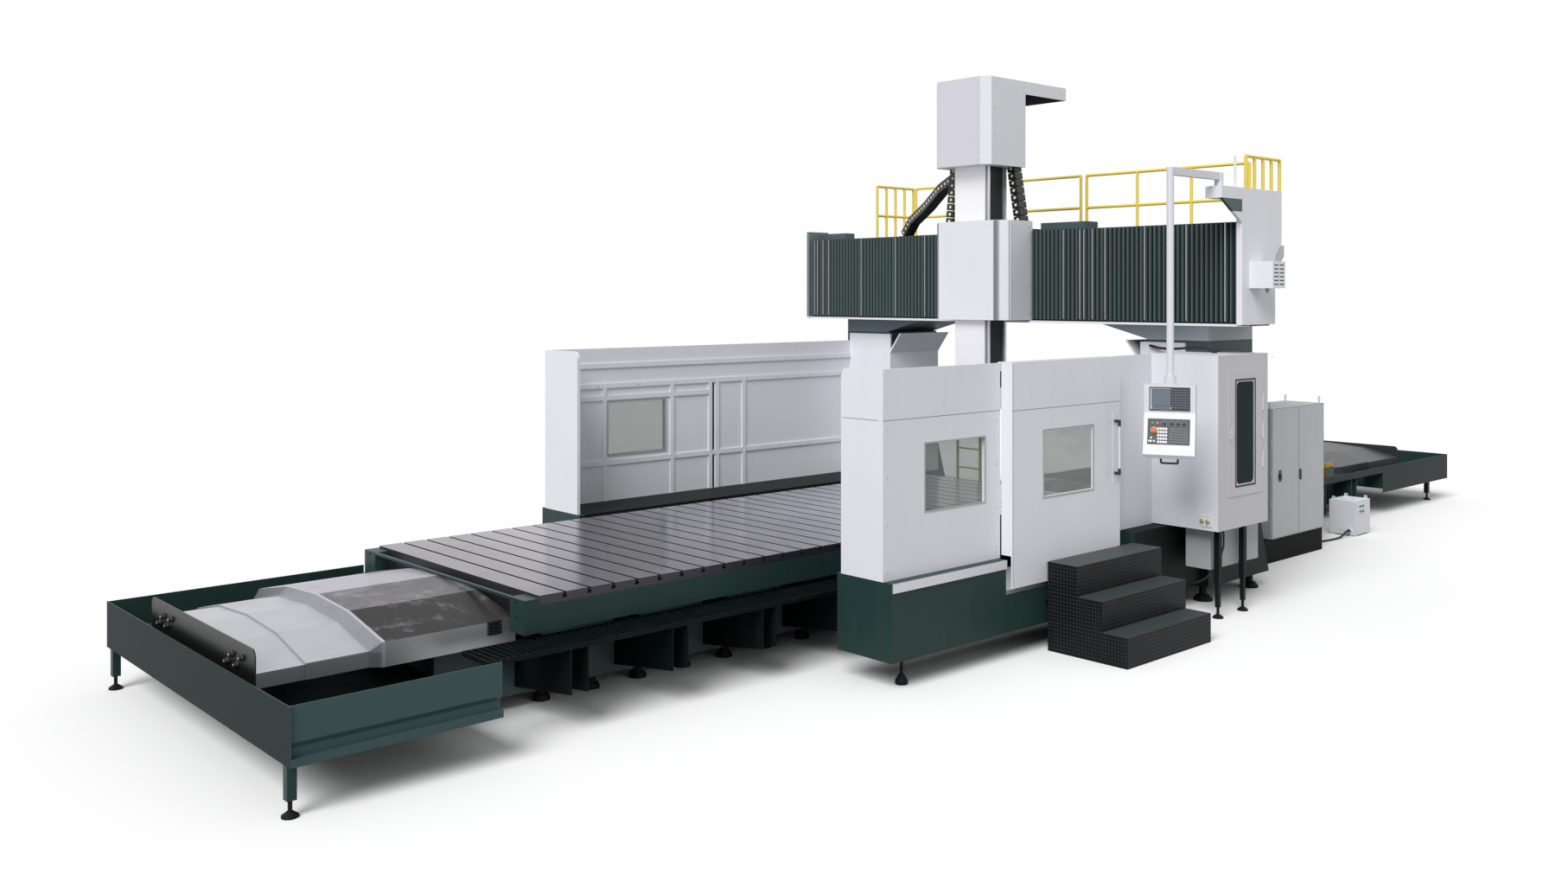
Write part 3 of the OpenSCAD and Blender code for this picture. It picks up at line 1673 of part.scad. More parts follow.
module magazine_door() {
  color(white_paint)
    difference() {
      block(from(mag_door_x, mag_door_w), from(-mag_out - gap - mag_door_t, mag_door_t),
        from(mag_door_z, mag_door_h));
      translate([0, -mag_out + 1, 0])
        along_y(-mag_door_t - 2, 0)
          rounded_area(from(mag_pane_x, mag_pane_w), from(mag_pane_z, mag_pane_h), mag_pane_r);
    }
  color(black)
    block(from(mag_door_x + latch_w, latch_w), from(-mag_out - gap - 2 * mag_door_t, mag_door_t),
      about(mag_door_z + mag_door_h / 2, latch_h));
  knuckles(mag_door_x + mag_door_w + knuckle_out, -mag_out - gap - knuckle_off, mag_door_z, mag_door_h);
}

// Hinge knuckles beside the edge of a door
module knuckles(x, y, z, h) {
  color(steel)
    for (i = [1:knuckle_n])
      translate([x, y, z + (h - knuckle_l) * i / (knuckle_n + 1)]) cylinder(r = knuckle_r, h = knuckle_l);
}

// Rectangle with rounded corners
module rounded_area(a, b, r) {
  area([a[0] + r, a[1] - r], b);
  area(a, [b[0] + r, b[1] - r]);
  for (x = [a[0] + r, a[1] - r], y = [b[0] + r, b[1] - r])
    translate([x, y]) circle(r);
}

module magazine_door_glass() {
  color("#20302e", 0.7)
    pane(mag_pane_x, from(-mag_out, pane_t), mag_pane_z, mag_pane_w, mag_pane_h, mag_glass_lap);
}

module tool_disc() {
  ring = disc_r - pocket_r - disc_edge;
  color(steel)
    translate([mag_mid, disc_y, disc_z])
      rotate([90, 0, 0]) {
        translate([0, 0, -disc_t / 2]) cylinder(r = disc_r, h = disc_t);
        cylinder(r = hub_r, h = pocket_l / 2);
        translate([0, 0, disc_y - drive_y - drive_bore / 2])
          cylinder(r = disc_shaft_r, h = drive_y - disc_y + drive_bore / 2);
      }
  color(black)
    translate([mag_mid, disc_y, disc_z])
      rotate([90, 0, 0])
        for (i = [0:pocket_n - 1])
          rotate(i * 360 / pocket_n)
            translate([ring, 0, 0]) {
              cylinder(r = pocket_r, h = pocket_l);
              cylinder(r = tool_r, h = pocket_l + tool_l);
            }
}

// Electrical cabinet

module electrical_cabinet() {
  body = [-cab_body, -cab_in];
  color("lightgrey") {
    difference() {
      block([cab_left, cab_right], body, [plinth_h, cab_h]);
      block([cab_left, cab_right] + [cab_wall, -cab_wall], body + [-1, -cab_wall],
        [plinth_h + cab_wall, cab_h - cab_wall]);
    }
    block(from(cab_left - cab_post_w, cab_post_w), from(-cab_body + cab_post_w, cab_post_w),
      [plinth_h, cab_post_h]);
    for (x = [cab_left + eye_r, cab_right - eye_r], y = [eye_r - cab_body, -cab_in - eye_r])
      eye_bolt(x, y);
  }
  color(black) {
    block([cab_left - cab_post_w, cab_right], body, [0, plinth_h]);
    gland(cab_right, cable_end_y);
    block(from(cab_left + duct_w, duct_w), [-cab_in, -rear_half - gap], [rear_pan_z, tray_rim]);
  }
}

// Ring on a short stem, standing on the cabinet's roof
module eye_bolt(x, y) {
  translate([x, y, cab_h]) {
    cylinder(r = eye_t, h = eye_r + eye_t / 2);
    translate([0, eye_t / 2, 2 * eye_r])
      rotate([90, 0, 0])
        difference() {
          cylinder(r = eye_r, h = eye_t);
          translate([0, 0, -1]) cylinder(r = eye_r - eye_t, h = eye_t + 2);
        }
  }
}

// Cable gland, pointing along X from x
module gland(x, y) {
  translate([x, y, gland_z])
    rotate([0, 90, 0]) cylinder(r = gland_r, h = gland_l);
}

module cabinet_leaf(x) {
  block(x, [-cab_out, cab_door_t - cab_out], [plinth_h + gap, cab_h]);
}

module cabinet_door_left() {
  color("lightgrey")
    difference() {
      cabinet_leaf([cab_left, cab_mid - gap]);
      translate([switch_x, switch_stem_l - cab_out, switch_z])
        rotate([90, 0, 0]) cylinder(r = switch_stem_r + shaft_gap, h = switch_stem_l + 1);
    }
  knuckles(cab_left - knuckle_out, cab_door_t / 2 - cab_out, plinth_h, cab_h - plinth_h);
}

module cabinet_door_right() {
  color("lightgrey") cabinet_leaf([cab_mid + gap, cab_right]);
  color(black)
    block(about(cab_handle_x, cab_handle[0]), from(-cab_out - cab_handle[1], cab_handle[1]),
      about(cab_handle_z, cab_handle[2]));
  knuckles(cab_right + knuckle_out, cab_door_t / 2 - cab_out, plinth_h, cab_h - plinth_h);
}

module main_switch() {
  color("red")
    translate([switch_x, -cab_out, switch_z])
      rotate([90, 0, 0]) {
        translate([0, 0, 2 * gap]) cylinder(r = switch_r, h = switch_h / 2);
        block(about(0, switch_r / 2), about(0, 2 * switch_r), [switch_h / 2, switch_h]);
        translate([0, 0, 1 - switch_stem_l]) cylinder(r = switch_stem_r, h = switch_stem_l);
      }
}

// Transformer

module lifting_lug(x, y) {
  translate([x - lug_t / 2, y, trafo_h])
    rotate([90, 0, 90])
      linear_extrude(lug_t)
        difference() {
          area(about(0, lug_w), [0, lug_h]);
          translate([0, lug_h - lug_w / 2]) circle(lug_hole_r);
        }
}

module transformer_box() {
  near = -trafo_out;
  far = trafo_d - trafo_out;
  color(white_paint) {
    difference() {
      block([trafo_left, trafo_right], [near, far], [trafo_foot, trafo_h]);
      for (i = [1:vent_n])
        block(from(trafo_left - 1, sheet + 1), from(near + vent_inset, trafo_d - 2 * vent_inset - gland_r),
          about(vent_low + i * vent_pitch, vent_pitch / 2));
    }
    for (x = [trafo_left + lug_inset, trafo_right - lug_inset], y = [near + lug_inset, far - lug_inset])
      lifting_lug(x, y);
  }
  color(black) {
    for (x = [trafo_left + lug_inset, trafo_right - lug_inset], y = [near + lug_inset, far - lug_inset])
      block(about(x, leg_w), about(y, leg_w), [0, trafo_foot]);
    gland(trafo_left - gland_l, gland_y);
  }
  color("silver")
    for (i = [0:1], j = [0:1])
      translate([trafo_left + lamp_x + i * lamp_pitch, near, lamp_z + j * lamp_pitch])
        rotate([90, 0, 0]) cylinder(r = lamp_r, h = lamp_h);
}

// Unit direction of the cable at a point of its route
function cable_way(i) =
  let (a = cable_route[max(0, i - 1)])
  let (b = cable_route[min(len(cable_route) - 1, i + 1)])
  (b - a) / norm(b - a);

// Ring of points round the route
function cable_ring(i) =
  let (d = i == 0 || i == len(cable_route) - 1 ? [-1, 0, 0] : cable_way(i))
  let (side = [-d[1], d[0], 0] / norm([d[0], d[1]]))
  let (up = cross(d, side))
  [for (k = [0:cable_sides - 1])
    cable_route[i] + cable_r * (cos(k * 360 / cable_sides) * side + sin(k * 360 / cable_sides) * up)];

module transformer_cable() {
  n = len(cable_route);
  m = cable_sides;
  rings = [for (i = [0:n - 1]) each cable_ring(i)];
  sides = [for (i = [0:n - 2], k = [0:m - 1])
    [i * m + k, (i + 1) * m + k, (i + 1) * m + (k + 1) % m, i * m + (k + 1) % m]];
  first = [for (k = [0:m - 1]) k];
  last = [for (k = [m - 1:-1:0]) (n - 1) * m + k];
  color(black) polyhedron(rings, concat(sides, [first, last]));
}

// Control pendant

module pendant_bracket() {
  color(white_paint) block([bracket_front, bracket_back], bracket_y, from(bracket_z, bracket_h));
  color(dark_paint)
    along_y(bracket_y[0], bracket_y[0] + right_cover_t / 2)
      polygon([[bracket_front, bracket_z], [drip_front - gap, bracket_z - gusset_drop],
        [drip_front - gap, bracket_z]]);
  color(steel)
    translate([mast_x, swivel_y, bracket_z + bracket_h]) cylinder(r = mast_r, h = mast_h);
}

module pendant_arm() {
  color("lightgrey") {
    translate([swivel_x, swivel_y, bracket_z + bracket_h + gap])
      cylinder(r = swivel_r, h = swivel_h + arm_h - gap);
    block([tube_x, swivel_x], about(swivel_y, arm_w), from(arm_z, arm_h));
    translate([tube_x, tube_y, panel_top + neck_h + gap])
      cylinder(r = tube_r, h = arm_z + arm_h - panel_top - neck_h - gap);
  }
}

// Places things in the panel's own turned frame
module on_panel() {
  translate([tube_x, tube_y, 0])
    rotate([0, 0, panel_turn]) children();
}

// Places things on the sloping key field: u to the left, v down the slope
module on_keys(u, v) {
  on_panel()
    translate([panel_face - v * sin(key_tilt), u, panel_waist - v * cos(key_tilt)])
      rotate([0, key_tilt - 90, 0]) children();
}

module pendant_panel() {
  color("lightgrey") {
    difference() {
      on_panel()
        along_y(-panel_w / 2, panel_w / 2)
          polygon([[panel_back, panel_low + panel_foot], [panel_back, panel_top], [panel_face, panel_top],
            [panel_face, panel_waist], [panel_chin, panel_low + panel_chin_h],
            [panel_chin + panel_foot, panel_low], [panel_back - panel_foot, panel_low]]);
      on_panel()
        along_y(panel_wall - panel_w / 2, panel_w / 2 - panel_wall) polygon(panel_cavity);
      on_keys(stop_u, stop_v) hole(stop_stem_r + shaft_gap, stop_stem_l + stop_travel + 1);
      for (u = button_u) on_keys(u, knob_v) hole(button_r + shaft_gap, button_l + button_travel + 1);
      for (u = knob_u) on_keys(u, knob_v) hole(knob_stem_r + shaft_gap, knob_stem_l + 1);
    }
    translate([tube_x, tube_y, panel_top - sheet]) cylinder(r = neck_r, h = neck_h + sheet);
  }
  color("#4a4f52")
    on_panel()
      block([panel_face - screen_t, panel_face + sheet], about(0, screen_w),
        about((panel_top + panel_waist) / 2, screen_h));
  color(black) {
    on_panel() {
      for (y = [-grip_w, grip_w] / 2)
        bar([grip_x, y, panel_low + sheet], [grip_x, y, panel_low - grip_drop], grip_r);
      bar([grip_x, -grip_w / 2, panel_low - grip_drop],
        [grip_x, grip_w / 2, panel_low - grip_drop], grip_r);
    }
  }
}

// Round hole sunk into the key field
module hole(r, l) {
  translate([0, 0, -l]) cylinder(r = r, h = l + 1);
}

module emergency_stop() {
  color("red")
    on_keys(stop_u, stop_v) {
      translate([0, 0, -stop_stem_l]) cylinder(r = stop_stem_r, h = stop_stem_l + stop_rise);
      translate([0, 0, stop_rise]) cylinder(r = stop_r, h = stop_h);
    }
}

// Selector knob with a grip bar, on a stem
module selector_knob(u) {
  color("#2c2c2c")
    on_keys(u, knob_v) {
      translate([0, 0, -knob_stem_l]) cylinder(r = knob_stem_r, h = knob_stem_l + 2 * gap);
      translate([0, 0, gap]) cylinder(r = knob_r, h = knob_h / 2);
      block(about(0, knob_bar), about(0, 2 * knob_r), [knob_h / 2, knob_h]);
    }
}

module mode_knob() {
  selector_knob(knob_u[0]);
}

module feed_knob() {
  selector_knob(knob_u[1]);
}

module rapid_knob() {
  selector_knob(knob_u[2]);
}

module speed_knob() {
  selector_knob(knob_u[3]);
}

// Push button in a hole of the key field
module push_button(u, paint) {
  color(paint)
    on_keys(u, knob_v)
      translate([0, 0, -button_l]) cylinder(r = button_r, h = button_l + button_h);
}

module start_button() {
  push_button(button_u[0], "green");
}

module hold_button() {
  push_button(button_u[1], "orange");
}

bed();
guide_rails();
levelling_feet();
front_tray();
rear_tray();
walkways();
columns();
crossbeam();
beam_end_covers();
bellows_left();
bellows_right();
platform();
guard_bases();
guard_panels();
guard_windows();
steps();
magazine_cabinet();
electrical_cabinet();
transformer_box();
transformer_cable();
pendant_bracket();
cover_fixed_ends();
table();
table_skirt();
cover_table_ends();
front_cover_2();
front_cover_3();
front_cover_4();
front_cover_5();
front_cover_6();
front_cover_7();
rear_cover_2();
rear_cover_3();
rear_cover_4();
rear_cover_5();
rear_cover_6();
rear_cover_7();
saddle();
saddle_cover();
ram();
head_cover();
spindle();
energy_chains();
guard_door();
guard_door_glass();
magazine_door();
magazine_door_glass();
tool_disc();
cabinet_door_left();
cabinet_door_right();
main_switch();
pendant_arm();
pendant_panel();
emergency_stop();
mode_knob();
feed_knob();
rapid_knob();
speed_knob();
start_button();
hold_button();
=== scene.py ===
import math
from itertools import product

import bmesh
import bpy
from bpy.props import FloatProperty, FloatVectorProperty, IntProperty, PointerProperty
from mathutils import Matrix, Vector


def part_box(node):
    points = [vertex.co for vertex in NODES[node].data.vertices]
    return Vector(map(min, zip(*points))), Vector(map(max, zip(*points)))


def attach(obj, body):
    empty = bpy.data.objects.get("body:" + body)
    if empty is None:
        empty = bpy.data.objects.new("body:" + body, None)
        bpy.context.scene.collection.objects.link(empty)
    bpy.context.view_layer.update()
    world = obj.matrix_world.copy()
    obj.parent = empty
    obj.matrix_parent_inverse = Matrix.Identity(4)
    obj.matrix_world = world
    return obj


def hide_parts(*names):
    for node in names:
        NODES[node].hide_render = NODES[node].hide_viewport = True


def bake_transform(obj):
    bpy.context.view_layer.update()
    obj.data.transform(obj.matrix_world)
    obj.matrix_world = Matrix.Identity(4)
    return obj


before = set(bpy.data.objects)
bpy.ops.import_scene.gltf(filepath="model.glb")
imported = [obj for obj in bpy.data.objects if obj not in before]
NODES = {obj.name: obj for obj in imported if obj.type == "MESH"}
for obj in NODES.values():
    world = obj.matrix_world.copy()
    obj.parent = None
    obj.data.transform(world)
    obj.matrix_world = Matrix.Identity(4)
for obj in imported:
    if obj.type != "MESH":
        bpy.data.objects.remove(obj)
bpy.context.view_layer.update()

bl_info = {
    "name": "Bridge Machining Centre",
    "version": (1, 0, 0),
    "blender": (4, 5, 0),
    "location": "View3D > Sidebar > Machine",
    "description": "Dresses the solids of a bridge machining centre with finishes and fittings",
    "category": "Object",
}

# Places taken from the solids
BELLOWS_LO, BELLOWS_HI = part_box("bellows_left")
SADDLE_LO, SADDLE_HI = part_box("saddle_cover")
HEAD_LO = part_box("head_cover")[0]
TABLE_LO, TABLE_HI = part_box("table")
SKIRT_LO, SKIRT_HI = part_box("table_skirt")
DOOR_LO, DOOR_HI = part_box("guard_door")
PANE_LO, PANE_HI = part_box("guard_door_glass")
MAG_LO, MAG_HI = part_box("magazine_cabinet")
MAG_DOOR_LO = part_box("magazine_door")[0]
LEAF_LO, LEAF_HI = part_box("cabinet_door_left")
CABINET_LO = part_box("electrical_cabinet")[0]
TRAFO_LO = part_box("transformer_box")[0]
STEPS_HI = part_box("steps")[1]
RAM_SIDE = 0.245
MAG_FACE = -3.5083
LEAF_EDGES = {"left": (3.06, 3.7947), "right": (3.7953, 4.53)}

# Route of the transformer's cable, as in the solids
CABLE_ROUTE = [
    (5.77, -2.08, 0.09), (5.715, -2.08, 0.088), (5.65, -2.078, 0.072), (5.58, -2.076, 0.045),
    (5.5, -2.074, 0.024), (5.41, -2.072, 0.017), (5.31, -2.068, 0.016), (5.2, -2.058, 0.016),
    (5.09, -2.04, 0.016), (4.99, -2.018, 0.016), (4.9, -1.996, 0.02), (4.82, -1.976, 0.036),
    (4.75, -1.962, 0.06), (4.69, -1.954, 0.08), (4.63, -1.95, 0.089), (4.57, -1.95, 0.09),
]
CABLE_RADIUS = 0.015

# Routes of the energy chains, as in the solids
CHAIN_ROUTES = {
    "chain_long": [(0.465, 1.92, 4.49), (0.4, 1.74, 4.65), (0.2, 1.28, 4.83), (0, 0.84, 5.04),
                   (-0.15, 0.385, 5.196)],
    "chain_left": [(-0.3, 0.42, 4.562), (-0.3, 0.35, 5.218)],
    "chain_right": [(0, -0.47, 4.562), (0, -0.36, 5.218)],
}

# Swivel of the pendant panel and its sloping key field, as in the solids
PANEL_ORIGIN = Vector((-1.33, -3.45, 0))
PANEL_TURN = math.radians(26)
PANEL_FACE = -0.06
PANEL_TOP = 2.655
PANEL_WAIST = 2.36
KEY_TILT = math.atan2(0.125, 0.43)

# Directions that screws and fittings face
FRONT, REAR, RIGHT, LEFT = (-1, 0, 0), (1, 0, 0), (0, -1, 0), (0, 1, 0)


def rgb(colour):
    """Linear colour of a hex code, or of a colour that is linear already."""
    if not isinstance(colour, str):
        return tuple(colour)
    values = [int(colour[i:i + 2], 16) / 255 for i in (1, 3, 5)]
    return tuple(v / 12.92 if v <= 0.04045 else ((v + 0.055) / 1.055) ** 2.4 for v in values)


def times(colour, share):
    return tuple(min(1, c * share) for c in colour)


def spaced(low, high, count):
    return [low + (high - low) * i / (count - 1) for i in range(count)]


def grid(*axes):
    """Points at all crossings of places along X, Y and Z; a number is a single place."""
    return list(product(*([a] if isinstance(a, (int, float)) else a for a in axes)))


# Settings

def colour_prop(name, description, code):
    return FloatVectorProperty(name=name, description=description, default=rgb(code),
                               subtype="COLOR", size=3, min=0, max=1)


def length_prop(name, description, default):
    return FloatProperty(name=name, description=description, default=default, min=0,
                         unit="LENGTH", subtype="DISTANCE")


class MachineFinishes(bpy.types.PropertyGroup):
    """Colours of the machine's finishes."""

    white: colour_prop("White paint", "Guards, covers and cabinets", "#dcdde3")
    green: colour_prop("Green paint", "Trays, skirts and guard bases", "#223836")
    casting: colour_prop("Casting paint", "Bed, columns and crossbeam", "#46565a")
    ground: colour_prop("Ground steel", "Table and its slots", "#6f6a76")
    sheet: colour_prop("Cover steel", "Telescopic way covers", "#b9bac0")
    tread: colour_prop("Tread plate", "Steps", "#121315")
    cloth: colour_prop("Bellows cloth", "Pleated crossbeam covers", "#26332f")
    black: colour_prop("Black", "Feet, chains and plinths", "#16181a")
    yellow: colour_prop("Handrail yellow", "Handrails and ladder", "#e6cf4f")
    grey: colour_prop("Cabinet grey", "Electrical cabinet", "#b7b8be")
    brass: colour_prop("Brass", "Valve block", "#b08a3c")
    red: colour_prop("Red", "Stop button", "#b81414")


class MachineDetails(bpy.types.PropertyGroup):
    """Sizes of the repeated fittings."""

    screw_radius: length_prop("Screw radius", "Radius of a cover screw's head", 0.009)
    stiffener: length_prop("Stiffener width", "Width of a bellows stiffener", 0.012)
    gasket: length_prop("Gasket width", "Width of a window gasket", 0.015)
    segments: IntProperty(name="Bellows segments", default=10, min=2, max=20,
                          description="Pieces that each bellows stretches in")


class MachineStage(bpy.types.PropertyGroup):
    """Camera and lights."""

    camera: FloatVectorProperty(name="Camera", description="Place of the camera", unit="LENGTH",
                                subtype="TRANSLATION", default=(-13.73, -11.08, 3.6))
    aim: FloatVectorProperty(name="Aim", description="Level direction of the camera's view",
                             subtype="DIRECTION", default=(0.6715, 0.741, 0))
    lens: FloatProperty(name="Lens", description="Focal length in millimetres", default=30.5, min=1)
    shift: FloatProperty(name="Shift", description="Vertical shift of the lens", default=-0.0934)
    key: FloatProperty(name="Key light", description="Strength of the main lamp", default=3.1)
    key_from: FloatVectorProperty(name="Key from", default=(-0.68, -0.27, 0.68),
                                  description="Direction that the main lamp shines from",
                                  subtype="DIRECTION")
    fill: FloatProperty(name="Fill light", description="Strength of the side lamp", default=0.2)
    fill_from: FloatVectorProperty(name="Fill from", default=(0.3, -0.85, 0.4),
                                   description="Direction that the side lamp shines from",
                                   subtype="DIRECTION")
    softness: FloatProperty(name="Softness", description="Angle that the lamps take up",
                            default=math.radians(35), unit="ROTATION", subtype="ANGLE")
    ambient: FloatProperty(name="Ambient", description="Light from all round", default=0.42, min=0,
                           max=1)


def details():
    return bpy.context.scene.machine_details


# Shader nodes

def connect(value, socket):
    """Feeds a socket from a wire, or sets its number, vector or colour."""
    if isinstance(value, Wire):
        socket.id_data.links.new(value.socket, socket)
    elif value is not None:
        socket.default_value = (*value, 1) if socket.type == "RGBA" else value


def feed(node, **values):
    """Feeds inputs by name, with _ for a space."""
    for label, value in values.items():
        connect(value, node.inputs[label.replace("_", " ")])


def operation(kind):
    """Method that adds a math node."""
    return lambda a, b=None: a.node("Math", {"operation": kind}, a, b)


class Wire:
    """Output of a shader node; arithmetic and the other methods add nodes that it feeds."""

    def __init__(self, socket):
        self.socket = socket

    def node(self, kind, settings, *values, **named):
        """Adds a node with its inputs fed in order or by name; returns its first output in use."""
        node = self.socket.id_data.nodes.new("ShaderNode" + kind)
        for label, value in settings.items():
            setattr(node, label, value)
        for socket, value in zip([s for s in node.inputs if s.enabled], values):
            connect(value, socket)
        feed(node, **named)
        return Wire(next(s for s in node.outputs if s.enabled))

    __add__ = operation("ADD")
    __sub__ = operation("SUBTRACT")
    __mul__ = operation("MULTIPLY")
    __truediv__ = operation("DIVIDE")
    __pow__ = operation("POWER")
    __gt__ = operation("GREATER_THAN")
    __lt__ = operation("LESS_THAN")
    cosine = operation("COSINE")
    maximum = operation("MAXIMUM")

    def __rsub__(self, other):
        return self.node("Math", {"operation": "SUBTRACT"}, other, self)

    def clamp(self):
        """Keeps what the last math node gives between 0 and 1."""
        self.socket.node.use_clamp = True
        return self

    def mix(self, a, b):
        """Blend of two colours by this share of the second."""
        return self.node("Mix", {"data_type": "RGBA"}, self, a, b)

    def shade(self, share):
        return self.node("VectorMath", {"operation": "SCALE"}, self, share)

    def stretch(self, scale):
        return self.node("Mapping", {}, Vector=self, Scale=scale)

    def noise(self, scale, detail, rough=0.5):
        return self.node("TexNoise", {}, Vector=self, Scale=scale, Detail=detail, Roughness=rough)

    def bump(self, strength, distance):
        return self.node("Bump", {}, Height=self, Strength=strength, Distance=distance)

    def split(self):
        x = self.node("SeparateXYZ", {}, self)
        return [Wire(socket) for socket in x.socket.node.outputs]


def coords(tree, output="Object"):
    return Wire(tree.nodes.new("ShaderNodeTexCoord").outputs[output])


# Shader groups

# Colours of dust, stains, wear with painted sheen on tread plate, and painted light on the ridges
# of cloth.
DUST, STAIN, WEAR_AND_SHEEN_TINT, PAINTED_RIDGE_LIGHT = "#6d6a63", "#5d5760", "#a9a6b0", "#6d7f80"
STREAKS, SMEARS = (6, 6, 0.5), (2, 2, 0.6)
BRUSH_CONTRAST = 0.35
TURN = 2 * math.pi


def build_group(name, inputs, build):
    group = bpy.data.node_groups.new(name, "ShaderNodeTree")
    for label, default in inputs.items():
        kind = "Float" if isinstance(default, float) else "Color" if len(default) == 4 else "Vector"
        socket = group.interface.new_socket(label, in_out="INPUT", socket_type="NodeSocket" + kind)
        socket.default_value = default
    enter = group.nodes.new("NodeGroupInput")
    results = build(group, *(Wire(enter.outputs[label]) for label in inputs))
    for label in results:
        kind = "Color" if label == "Colour" else "Float"
        group.interface.new_socket(label, in_out="OUTPUT", socket_type="NodeSocket" + kind)
    feed(group.nodes.new("NodeGroupOutput"), **results)
    return group


def shared(name, **inputs):
    """Makes a function the contents of a shader group; calling it adds a node of that group."""
    def wrap(build):
        def place(tree, **values):
            node = tree.nodes.new("ShaderNodeGroup")
            node.node_tree = bpy.data.node_groups.get(name) or build_group(name, inputs, build)
            feed(node, **values)
            return {socket.name: Wire(socket) for socket in node.outputs}
        return place
    return wrap


@shared("Sprayed paint", Colour=(0.8, 0.8, 0.8, 1), Mottle=0.06, Roughness=0.4, Dust=0.1)
def sprayed_paint(tree, tint, mottle, rough, dust):
    """Slight mottling, streaks of dust, and orange peel."""
    place = coords(tree)
    streak = place.stretch(STREAKS).noise(1.5, 4, 0.6)
    toned = tint.shade((place.noise(0.7, 4) - 0.5) * mottle * 2 + 1)
    return {"Colour": ((streak - 0.5).clamp() * dust).mix(toned, rgb(DUST)),
            "Roughness": rough + (streak - 0.5) * 0.2, "Height": place.noise(60, 2)}


@shared("Brushed metal", Colour=(0.5, 0.5, 0.5, 1), Roughness=0.3, Stretch=(1, 40, 40), Stain=0.15)
def brushed_metal(tree, tint, rough, stretch, stain):
    """Fine lines along the axis that is stretched least, and stains."""
    place = coords(tree)
    lines = place.stretch(stretch).noise(4, 5, 0.65)
    ripple = (lines - 0.5) * BRUSH_CONTRAST
    stained = ((place.noise(1.3, 5, 0.6) - 0.45).clamp() * stain * 4).clamp()
    return {"Colour": stained.mix(tint.shade(ripple + 1), rgb(STAIN)),
            "Roughness": rough + ripple + stained * 0.2, "Height": lines}


@shared("Tread studs", Pitch=0.045)
def tread_studs(tree, pitch):
    """Raised studs on faces of every direction."""
    place, normal = coords(tree).split(), coords(tree, "Normal").split()
    studs = []
    for u, v, across in ((0, 1, 2), (0, 2, 1), (1, 2, 0)):
        ridge, furrow = ((turns / pitch * TURN).cosine()
                         for turns in (place[u] + place[v], place[u] - place[v]))
        studs.append(((ridge * furrow - 0.45).clamp() * 3).clamp() * normal[across] ** 2)
    return {"Height": ((studs[0] + studs[1]).clamp() + studs[2]).clamp()}


@shared("Zone", Low=(0, 0, 0), High=(1, 1, 1))
def zone_mask(tree, low, high):
    """1 inside a box of object coordinates, 0 outside."""
    x, y, z = ((place > least) * (place < most)
               for place, least, most in zip(coords(tree).split(), low.split(), high.split()))
    return {"Mask": x * y * z}


# Materials

LOW, HIGH = -100, 100
ALL = (LOW, HIGH)
ALONG_X, ALONG_Y, ALONG_Z = (1, 40, 40), (40, 1, 40), (40, 40, 1)
# Studs are painted this many times lighter than the plate: a painted highlight where light catches
# them.
PAINTED_STUD_HIGHLIGHT = 6
TREAD_SHEEN = 0.12
PLEAT_DEPTH = 0.05
MATERIALS = {}


def finish(name):
    if name not in MATERIALS:
        build_materials()
    return MATERIALS[name]


def new_material(name):
    """Enters a material in the table of finishes; returns its tree and its shader."""
    MATERIALS[name] = bpy.data.materials.new(name)
    MATERIALS[name].use_nodes = True
    tree = MATERIALS[name].node_tree
    return tree, tree.nodes["Principled BSDF"]


def box(x=ALL, y=ALL, z=ALL):
    """Low and high corner of a box of the frame's coordinates."""
    return tuple(zip(x, y, z))


def zone(tint, rough, metallic=0, **ranges):
    """Another finish inside a box."""
    return *box(**ranges), rgb(tint), rough, metallic


def inside(tree, low, high):
    return zone_mask(tree, Low=low, High=high)["Mask"]


def zoned(tree, tint, rough, metallic, zones):
    """Shader inputs of a finish with the zones' finishes over it."""
    for low, high, zone_tint, zone_rough, zone_metallic in zones:
        mask = inside(tree, low, high)
        tint = mask.mix(tint, zone_tint)
        rough = rough * (1 - mask) + mask * zone_rough
        metallic = (1 - mask) * metallic + mask * zone_metallic
    return {"Base_Color": tint, "Roughness": rough, "Metallic": metallic}


def paint(name, tint, coat, *zones):
    """Sprayed paint; its coat is (roughness, mottle, dust, sheen)."""
    tree, shader = new_material(name)
    rough, mottle, dust, sheen = coat
    look = sprayed_paint(tree, Colour=rgb(tint), Mottle=mottle, Roughness=rough, Dust=dust)
    feed(shader, **zoned(tree, look["Colour"], look["Roughness"], 0, zones),
         Specular_IOR_Level=sheen, Normal=look["Height"].bump(0.08, 0.001))


def metal(name, tint, rough, stretch, stain, *zones, painted_highlight=None):
    """Brushed metal; painted_highlight is (X where the painted highlight starts, X where it is
    full, colour), a painted reflection that lightens the metal along X.
    """
    tree, shader = new_material(name)
    look = brushed_metal(tree, Colour=rgb(tint), Roughness=rough, Stretch=stretch, Stain=stain)
    shade = look["Colour"]
    # Painted highlight: a patchy lighter colour that grows along X, standing in for a reflected
    # lamp.
    if painted_highlight:
        start, full, bright = painted_highlight
        share = ((coords(tree).split()[0] - start) / (full - start)).clamp()
        patchy = coords(tree).noise(1.1, 5, 0.65) + 0.3
        shade = (share * patchy).clamp().mix(shade, rgb(bright))
    feed(shader, **zoned(tree, shade, look["Roughness"], 0.9, zones),
         Normal=look["Height"].bump(0.06, 0.001))


